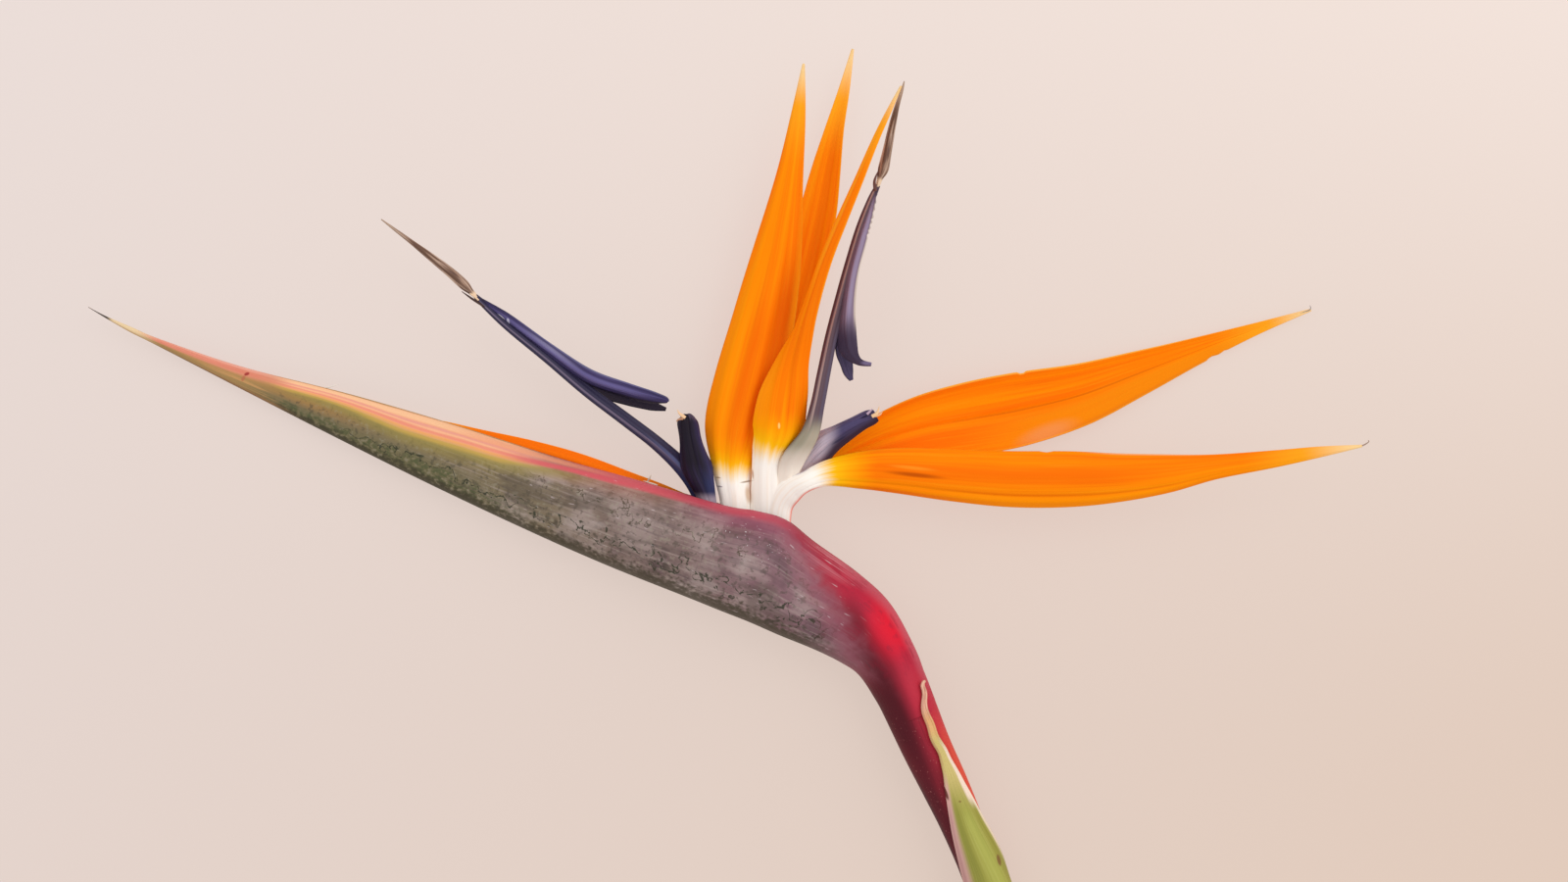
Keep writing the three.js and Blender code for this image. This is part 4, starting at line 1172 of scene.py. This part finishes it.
def left_nectary_skin(name, length):
    """Nearly black, blue along its right side and white where it goes into the spathe."""
    skin, streak, fine = nectary_skin(name, "21182c", length)
    skin.coat("332a49", 0.6, skin.fade(streak, 0.5, 0.62))
    skin.coat("180f1b", 0.85, skin.between(skin.across, -0.6, 0.3, 0.3), skin.fade(skin.y, 22, 27))
    skin.coat("2b3159", 0.9, skin.fade(skin.y, 26, 20), skin.fade(skin.across, -0.2, 0.4))
    skin.coat("3c4070", 0.6, skin.fade(skin.across, 0.25, 0.8), skin.between(skin.y, 20, 35, 3))
    skin.coat("141020", 0.6, skin.fade(fine, 0.54, 0.66), skin.fade(skin.y, 18, 24))
    skin.coat("675a70", 0.8, skin.fade(skin.y, 34.8, 36.4), skin.fade(streak, 0.45, 0.6))
    skin.coat("a99aa8", 0.9, skin.fade(skin.y, 19.6, 17.4))
    skin.coat("f1e2dc", 1, skin.fade(skin.y, 17.0, 14.5))
    return skin.done()


def right_nectary_skin(name, length):
    """Violet-grey, lilac at the foot, with a dark fold along its lower side."""
    skin, streak, fine = nectary_skin(name, "4b4266", length)
    skin.coat("665d86", 0.6, skin.fade(streak, 0.5, 0.64))
    skin.coat("c9b8c6", 0.95, skin.fade(skin.x, 26.5, 21.5), skin.fade(skin.across, 0.75, 0.1))
    skin.coat("301e30", 0.9, skin.fade(skin.across, -0.1, 0.5), skin.between(skin.x, 22.5, 40, 2.5))
    skin.coat("9d94b4", 0.7, skin.fade(skin.across, -0.62, -0.92), skin.between(skin.x, 20, 30, 3))
    skin.coat("241d3a", 0.9, skin.spot((31.4, 36.3), (1.7, 0.35), 25, 0.6))
    skin.coat("241d3a", 0.7, skin.spot((25.5, 31.0), (2.4, 0.35), 32, 0.7))
    skin.coat("1f1a30", 0.4, skin.fade(fine, 0.56, 0.7))
    skin.coat("cdc5cf", 0.9, skin.fade(skin.x, 20.0, 18.2))
    skin.coat("f4e9e2", 1, skin.fade(skin.x, 17.6, 16.0))
    return skin.done()


NECTARY_SKINS = {
    "floret_1_nectary_petal": left_nectary_skin,
    "floret_2_nectary_petal": right_nectary_skin,
}
for nectary_node, nectary_rows in NECTARY_PETALS.items():
    nectary_bend = blade_place(nectary_rows, NECTARY_PLEATS, NECTARY_WAVE_MM, NECTARY_SEED)
    nectary_form, nectary_length = sheet_of(*NECTARY_GRID, nectary_bend)
    nectary_finish = NECTARY_SKINS[nectary_node](nectary_node, nectary_length)
    nectary = finished(nectary_node + "_fold", nectary_form, nectary_finish)
    thicken(nectary, PETAL_THICKNESS)
    thin_margins(nectary, PETAL_MARGIN)
    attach(nectary, "root")
    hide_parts(nectary_node)


# ---- Arrow petals ----
# Two petals of each floret grow together into an arrow. The narrow shaft holds the style, and
# the two wings spread behind the point into free lobes.

# Shafts have rows of x, y, z, half width and half depth. Wings have rows of x, y, z, breadth, bow
# and roll in degrees, from the arrow's point back to the lobe.
ARROW_PETALS = {
    "floret_1_arrow_petal": {
        "shaft": [
            [-3.5, 8.9, 9.0, 1.5, 1.2],
            [-5.1, 18.0, 9.0, 2.0, 1.3],
            [-8.8, 24.0, 9.3, 1.8, 1.4],
            [-14.9, 29.9, 9.9, 1.5, 1.4],
            [-22.0, 35.4, 10.5, 1.4, 1.3],
            [-30.8, 42.0, 10.9, 1.3, 1.2],
            [-39.5, 49.3, 11.0, 1.2, 1.1],
            [-48.3, 56.3, 11.2, 1.0, 1.0],
            [-53.4, 60.9, 11.4, 0.8, 0.8],
            [-56.0, 63.3, 11.5, 0.5, 0.5],
        ],
        "near_wing": [
            [-54.6, 62.2, 11.6, 1.3, 20, -40],
            [-51.0, 59.6, 11.8, 2.5, 25, -40],
            [-48.0, 57.4, 11.9, 3.1, 25, -40],
            [-39.3, 50.9, 12.3, 3.7, 25, -40],
            [-30.6, 44.9, 12.9, 4.7, 25, -40],
            [-22.0, 41.9, 13.3, 4.3, 25, -40],
            [-16.4, 40.5, 13.5, 3.4, 25, -40],
            [-13.4, 39.9, 13.6, 2.0, 20, -40],
            [-12.8, 39.7, 13.6, 0.8, 20, -40],
        ],
        "far_wing": [
            [-54.0, 61.2, 11.0, 1.0, -20, 40],
            [-48.3, 57.2, 10.5, 2.5, -25, 40],
            [-39.6, 50.3, 9.7, 3.2, -25, 40],
            [-30.8, 43.7, 8.9, 4.4, -25, 40],
            [-22.0, 40.0, 8.5, 4.1, -25, 40],
            [-17.2, 38.8, 8.5, 3.0, -25, 40],
            [-13.3, 37.9, 8.6, 0.9, -20, 40],
        ],
    },
    "floret_2_arrow_petal": {
        "shaft": [
            [10.7, 8.9, 10.3, 1.2, 1.0],
            [11.8, 16.6, 10.4, 1.3, 1.0],
            [13.5, 21.6, 11.6, 1.8, 1.0],
            [15.1, 26.4, 14.1, 2.4, 1.3],
            [18.9, 32.3, 15.2, 1.9, 1.4],
            [20.6, 38.5, 15.2, 1.5, 1.4],
            [22.0, 45.5, 15.0, 1.4, 1.3],
            [23.7, 53.8, 14.9, 1.3, 1.2],
            [25.7, 61.9, 15.0, 1.2, 1.1],
            [27.9, 70.2, 15.2, 1.1, 1.0],
            [30.3, 78.3, 15.5, 1.0, 0.9],
            [32.7, 84.7, 15.9, 0.8, 0.8],
            [34.2, 87.9, 16.1, 0.5, 0.5],
        ],
        "near_wing": [
            [33.8, 87.4, 16.2, 1.0, 20, -30],
            [31.9, 81.0, 16.4, 2.7, 25, -30],
            [30.2, 75.6, 16.6, 3.2, 25, -30],
            [28.5, 69.1, 16.6, 3.2, 25, -30],
            [27.4, 62.5, 16.5, 3.8, 25, -30],
            [26.9, 56.0, 16.3, 5.0, 25, -30],
            [27.6, 51.1, 16.2, 4.6, 25, -30],
            [29.8, 48.5, 16.0, 2.0, 25, -30],
            [32.7, 47.9, 15.9, 0.9, 20, -30],
        ],
        "far_wing": [
            [26.8, 63.7, 13.8, 2.5, -20, 30],
            [26.3, 57.1, 13.0, 3.6, -25, 30],
            [26.3, 51.6, 12.5, 3.8, -25, 30],
            [27.2, 47.2, 12.3, 3.2, -25, 30],
            [28.3, 44.4, 12.1, 0.9, -20, 30],
        ],
    },
}

SHAFT_GRID = (28, 120)
SHAFT_FLUTES = (5, 0.12)
WING_GRID = (28, 160)
WING_PLEATS = [(-0.2, 0.2, 0.25)]
WING_WAVE_MM = 0.25
WING_SEED = 1.0
# A row of small teeth in a wing's margin, given as the nicks in the sepals are.
WING_TEETH = {
    "floret_2_arrow_petal_near_wing": [(-1, 0.05 + 0.028 * tooth, 0.007, 0.3) for tooth in range(7)],
}


def wing_skin(name, base, light, dark, length):
    """A wing's violet-blue ground, with light streaks, dark lines and dark margins."""
    skin = Finish(name + "_skin", base, length, roughness=0.45, gloss=0.17)
    streak = skin.grain(4.0, 0.04, 2.0)
    fine = skin.grain(22.0, 0.1, 6.0)
    skin.coat(light, 0.75, skin.fade(streak, 0.48, 0.62))
    skin.coat(dark, 0.5, skin.fade(fine, 0.5, 0.66))
    skin.coat(dark, 0.6, skin.fade(skin.math("ABSOLUTE", skin.across), 0.88, 0.98))
    skin.raise_by(fine, 0.08)
    skin.raise_by(streak, 0.12)
    return skin


def left_wing_specks_light_and_shade(skin):
    """Pale lilac of painted sheen and a painted highlight along its upper side, a fold darkened by painted
    shade beside it, a lobe in painted shade, and a few torn white specks.
    """
    skin.coat("6e659a", 0.75, skin.between(skin.across, -0.5, 0.1, 0.2), skin.between(skin.x, -50, -18, 6))
    skin.coat("9a94b6", 0.6, skin.between(skin.across, -0.7, -0.3, 0.2), skin.between(skin.x, -43, -35, 4))
    skin.coat("26203b", 0.8, skin.between(skin.across, 0.14, 0.24, 0.07), skin.between(skin.x, -50, -22, 4))
    skin.coat("191220", 0.9, skin.fade(skin.across, 0.25, 0.65), skin.fade(skin.x, -38, -30))
    skin.coat("8481a8", 0.6, skin.fade(skin.across, -0.82, -0.97), skin.between(skin.x, -46, -14, 4))
    skin.coat("e8e3ee", 0.9, skin.spot((-50.2, 58.6), (1.3, 0.3), -40, 0.5))
    skin.coat("cfcbe0", 0.8, skin.spot((-48.6, 57.6), (0.4, 0.9), 10, 0.5))
    skin.coat("2b2030", 0.8, skin.fade(skin.x, -52.6, -54.4))


def right_wing_marks_light_and_shade(skin):
    """Brownish towards the shaft, with a band of painted sheen, a cream margin and a lobe darkened by
    painted shade.
    """
    skin.coat("6a4f5c", 0.8, skin.fade(skin.across, 0.1, 0.5))
    skin.coat("a596b6", 0.7, skin.between(skin.across, -0.7, -0.1, 0.2), skin.between(skin.y, 58, 84, 4))
    skin.coat("d9c8bb", 0.85, skin.fade(skin.across, -0.74, -0.94), skin.between(skin.y, 56, 84, 3))
    skin.coat("3d3046", 0.95, skin.fade(skin.y, 60, 53))
    skin.coat("7d6e93", 0.9, skin.spot((32.0, 48.2), (2.2, 0.8), 0, 0.7))
    skin.coat("2d1f35", 0.7, skin.fade(skin.y, 84.5, 86.5))


# Each near wing's own marks, and the light and shade painted on it.
WING_MARKS_AND_SHADING = {"floret_1_arrow_petal": left_wing_specks_light_and_shade, "floret_2_arrow_petal": right_wing_marks_light_and_shade}


def shaft_skin(name, base, stripe, length):
    """A shaft's ground, with one pale stripe and dark lines between its flutes."""
    skin = Finish(name + "_shaft_skin", base, length, roughness=0.45, gloss=0.25)
    stripes = skin.grain(5.0, 0.012, 5.0)
    skin.coat(stripe, 0.9, skin.between(skin.across, -0.22, -0.04, 0.06), skin.fade(stripes, 0.3, 0.5))
    skin.coat("211b2c", 0.5, skin.fade(stripes, 0.54, 0.66))
    skin.raise_by(stripes, 0.15)
    return skin


def left_shaft_marks(skin):
    """Bluer towards the foot, and pale where it goes into the spathe."""
    skin.coat("2c3158", 0.9, skin.fade(skin.y, 30, 22))
    skin.coat("5b5f8a", 0.7, skin.between(skin.across, -0.1, 0.06, 0.05), skin.fade(skin.y, 34, 26))
    skin.coat("b9a9b2", 0.8, skin.fade(skin.y, 18.5, 17))


def right_shaft_marks(skin):
    """Violet and brown stripes above, grey-green and then white at the foot."""
    skin.coat("54485e", 0.8, skin.between(skin.across, 0.2, 0.55, 0.06), skin.between(skin.y, 34, 56, 4))
    left_flute = skin.between(skin.across, -0.55, -0.26, 0.05)
    skin.coat("553438", 0.85, left_flute, skin.between(skin.y, 35, 80, 4))
    skin.coat("97907c", 0.95, skin.fade(skin.y, 37.5, 31.5))
    skin.coat("b5a795", 0.7, skin.fade(skin.across, -0.08, 0.08), skin.fade(skin.y, 36, 31))
    skin.coat("675c50", 0.8, skin.fade(skin.across, -0.26, -0.4), skin.between(skin.y, 27, 36, 2))
    skin.coat("ddcdc0", 0.9, skin.fade(skin.y, 30.5, 26.0))
    skin.coat("fdf2e4", 1, skin.fade(skin.y, 27.0, 23.0))


SHAFT_MARKS = {"floret_1_arrow_petal": left_shaft_marks, "floret_2_arrow_petal": right_shaft_marks}
# The ground colour of each part of the arrows, and then its stripe, or its light and dark lines.
# The far wings' darker grounds are painted shade.
ARROW_COLOURS = {
    "floret_1_arrow_petal": {
        "shaft": ("2f2a45", "7f738c"),
        "near_wing": ("3d3460", "554a7c", "1f1932"),
        "far_wing": ("20162a", "2a2038", "130d1c"),
    },
    "floret_2_arrow_petal": {
        "shaft": ("5b4550", "b59c98"),
        "near_wing": ("745f73", "8f7a8e", "44344a"),
        "far_wing": ("453a58", "52476a", "2a2138"),
    },
}

for arrow_node, arrow in ARROW_PETALS.items():
    arrow_shades = ARROW_COLOURS[arrow_node]
    shaft_form, shaft_length = rod_form(arrow["shaft"], *SHAFT_GRID, *SHAFT_FLUTES)
    shaft_finish = shaft_skin(arrow_node, *arrow_shades["shaft"], shaft_length)
    SHAFT_MARKS[arrow_node](shaft_finish)
    arrow_shaft = finished(arrow_node + "_shaft", shaft_form, shaft_finish.done())
    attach(arrow_shaft, "root")
    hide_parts(arrow_node)
    for wing_name in ("near_wing", "far_wing"):
        wing_full_name = arrow_node + "_" + wing_name
        wing_teeth = WING_TEETH.get(wing_full_name, ())
        wing_bend = blade_place(arrow[wing_name], WING_PLEATS, WING_WAVE_MM, WING_SEED, wing_teeth)
        wing_form, wing_length = sheet_of(*WING_GRID, wing_bend)
        wing_finish = wing_skin(wing_full_name, *arrow_shades[wing_name], wing_length)
        if wing_name == "near_wing":
            WING_MARKS_AND_SHADING[arrow_node](wing_finish)
        wing = finished(wing_full_name, wing_form, wing_finish.done())
        thicken(wing, PETAL_THICKNESS)
        thin_margins(wing, PETAL_MARGIN)
        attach(wing, "root")
        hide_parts(arrow_node)


# ---- Stigmas ----
# The style ends in a long sticky tip that has dried brown. It is folded, with paler ridges.

# Rows from the arrow's point outwards: x, y, z, half width and half depth.
STIGMAS = {
    "floret_1_stigma": [
        [-55.3, 62.7, 11.5, 0.35, 0.4],
        [-56.9, 64.2, 11.7, 0.6, 0.6],
        [-58.6, 65.9, 11.9, 1.05, 0.8],
        [-61.6, 68.6, 12.3, 1.0, 0.8],
        [-65.6, 71.8, 12.8, 0.8, 0.7],
        [-70.0, 75.2, 13.4, 0.5, 0.5],
        [-74.0, 78.2, 14.0, 0.3, 0.3],
        [-76.9, 80.4, 14.3, 0.1, 0.1],
    ],
    "floret_2_stigma": [
        [34.1, 87.6, 16.2, 0.4, 0.4],
        [34.6, 89.4, 16.3, 0.6, 0.6],
        [35.4, 91.6, 16.5, 1.1, 0.8],
        [36.2, 95.4, 17.0, 0.95, 0.8],
        [37.3, 100.8, 17.7, 0.75, 0.7],
        [38.4, 105.4, 18.3, 0.5, 0.5],
        [39.5, 109.0, 18.8, 0.3, 0.3],
        [40.0, 111.0, 19.1, 0.1, 0.1],
    ],
}

STIGMA_GRID = (24, 80)
STIGMA_FLUTES = (3, 0.2)


def stigma_skin(name, length):
    """Brown with dark folds and pale ridges, and cream where it leaves the arrow."""
    skin = Finish(name + "_skin", "a08270", length, roughness=0.7, gloss=0.1)
    folds = skin.grain(3.0, 0.1, 4.0)
    fine = skin.grain(10.0, 0.3, 9.0)
    skin.coat("64493c", 0.9, skin.fade(folds, 0.45, 0.56), skin.fade(skin.along, length - 2, length - 8))
    skin.coat("cdb4a2", 0.8, skin.fade(folds, 0.46, 0.36))
    skin.coat("5d4850", 0.5, skin.fade(fine, 0.56, 0.68))
    skin.coat("5a3d34", 0.6, skin.fade(skin.along, 5, 2.6), skin.fade(skin.across, 0.1, -0.3))
    skin.coat("b59a83", 0.7, skin.fade(skin.along, length - 7, length))
    skin.coat("ecd0b0", 0.95, skin.fade(skin.along, 2.4, 1.4))
    skin.raise_by(folds, 0.25)
    return skin.done()


for stigma_node, stigma_rows in STIGMAS.items():
    stigma_form, stigma_length = rod_form(stigma_rows, *STIGMA_GRID, *STIGMA_FLUTES)
    stigma = finished(stigma_node + "_tip", stigma_form, stigma_skin(stigma_node, stigma_length))
    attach(stigma, "root")
    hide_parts(stigma_node)


# ---- Dry points and torn fibres ----
# Thin dry points end the two sepals on the right. Frayed scraps are left where the petals tore,
# at the tips of the nectary petals, at the arrows' joints and on the margin of the spathe.

# Each fibre: the node that it belongs to, its slot, its colour and roughness, and rows of x, y, z
# and radius.
FIBRES = {
    "upper_point": ("floret_2_sepal_rear", "sepal", "8d8484", 0.85, [
        [129.6, 59.6, 1.9, 0.16],
        [130.8, 60.0, 2.0, 0.14],
        [131.7, 60.3, 2.1, 0.12],
        [132.1, 60.8, 2.2, 0.09],
        [131.9, 61.4, 2.3, 0.06],
    ]),
    "lower_point": ("floret_2_sepal_front", "sepal", "9c8072", 0.85, [
        [140.2, 29.6, 19.4, 0.18],
        [141.8, 29.7, 19.5, 0.16],
        [142.9, 30.2, 19.6, 0.13],
        [143.5, 30.7, 19.7, 0.09],
        [143.3, 31.0, 19.8, 0.05],
    ]),
    "left_scrap": ("floret_1_nectary_petal", "petal", "f0c9a0", 0.6, [
        [-8.9, 36.0, 14.3, 0.4],
        [-9.6, 36.5, 14.4, 0.4],
        [-10.3, 37.1, 14.5, 0.22],
        [-10.6, 37.8, 14.5, 0.06],
    ]),
    "left_scrap_low": ("floret_1_nectary_petal", "petal", "b98a6e", 0.7, [
        [-9.4, 35.8, 14.2, 0.3],
        [-10.4, 35.6, 14.3, 0.22],
        [-10.9, 35.1, 14.3, 0.08],
    ]),
    "right_scrap": ("floret_2_nectary_petal", "petal", "efc79b", 0.6, [
        [32.9, 36.3, 13.9, 0.45],
        [33.9, 36.9, 14.1, 0.4],
        [34.3, 37.7, 14.1, 0.22],
        [34.5, 38.6, 14.2, 0.06],
    ]),
    "right_scrap_low": ("floret_2_nectary_petal", "petal", "e7b58a", 0.6, [
        [33.6, 36.4, 13.9, 0.35],
        [34.6, 36.7, 14.0, 0.26],
        [35.2, 37.3, 14.0, 0.08],
    ]),
    "right_scrap_left": ("floret_2_nectary_petal", "petal", "b7a0b4", 0.7, [
        [31.8, 36.8, 13.7, 0.35],
        [32.5, 37.5, 13.8, 0.24],
        [33.0, 38.0, 13.8, 0.06],
    ]),
    "left_joint": ("floret_1_arrow_petal", "petal", "e8c8a8", 0.8, [
        [-55.2, 62.3, 12.1, 0.2],
        [-56.3, 63.3, 12.2, 0.26],
        [-57.2, 63.9, 12.3, 0.1],
    ]),
    "left_joint_dark": ("floret_1_arrow_petal", "petal", "4a3734", 0.8, [
        [-53.9, 60.9, 11.9, 0.3],
        [-56.6, 62.6, 12.0, 0.26],
        [-59.0, 64.3, 12.0, 0.08],
    ]),
    "right_joint": ("floret_2_arrow_petal", "petal", "6b4a44", 0.8, [
        [33.6, 86.6, 16.8, 0.4],
        [33.4, 88.8, 17.0, 0.32],
        [34.2, 91.0, 17.1, 0.1],
    ]),
    "margin_fibre": ("spathe", "spathe", "cfc0ae", 0.8, [
        [-17.6, 21.6, 9.6, 0.12],
        [-17.0, 22.4, 9.9, 0.22],
        [-16.6, 23.2, 10.0, 0.05],
    ]),
    "margin_fibre_left": ("spathe", "spathe", "e0d3c2", 0.8, [
        [-15.2, 20.9, 9.6, 0.12],
        [-16.6, 21.3, 9.8, 0.2],
        [-18.4, 21.9, 9.8, 0.05],
    ]),
    "beak_fibre": ("spathe", "spathe", "efe6dc", 0.8, [
        [-91.0, 42.6, 3.6, 0.05],
        [-89.6, 42.9, 3.9, 0.14],
        [-87.2, 43.6, 3.9, 0.04],
    ]),
}
FIBRE_GRID = (10, 24)
FIBRE_GLOSS = 0.1

for fibre_name, (fibre_node, fibre_slot, fibre_colour, fibre_rough, fibre_rows) in FIBRES.items():
    fibre_form, fibre_length = rod_form(fibre_rows, *FIBRE_GRID)
    fibre_skin = Finish(fibre_name + "_skin", fibre_colour, fibre_length, fibre_rough, FIBRE_GLOSS)
    fibre = finished(fibre_name, fibre_form, fibre_skin.done())
    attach(fibre, "root")
    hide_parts(fibre_node)
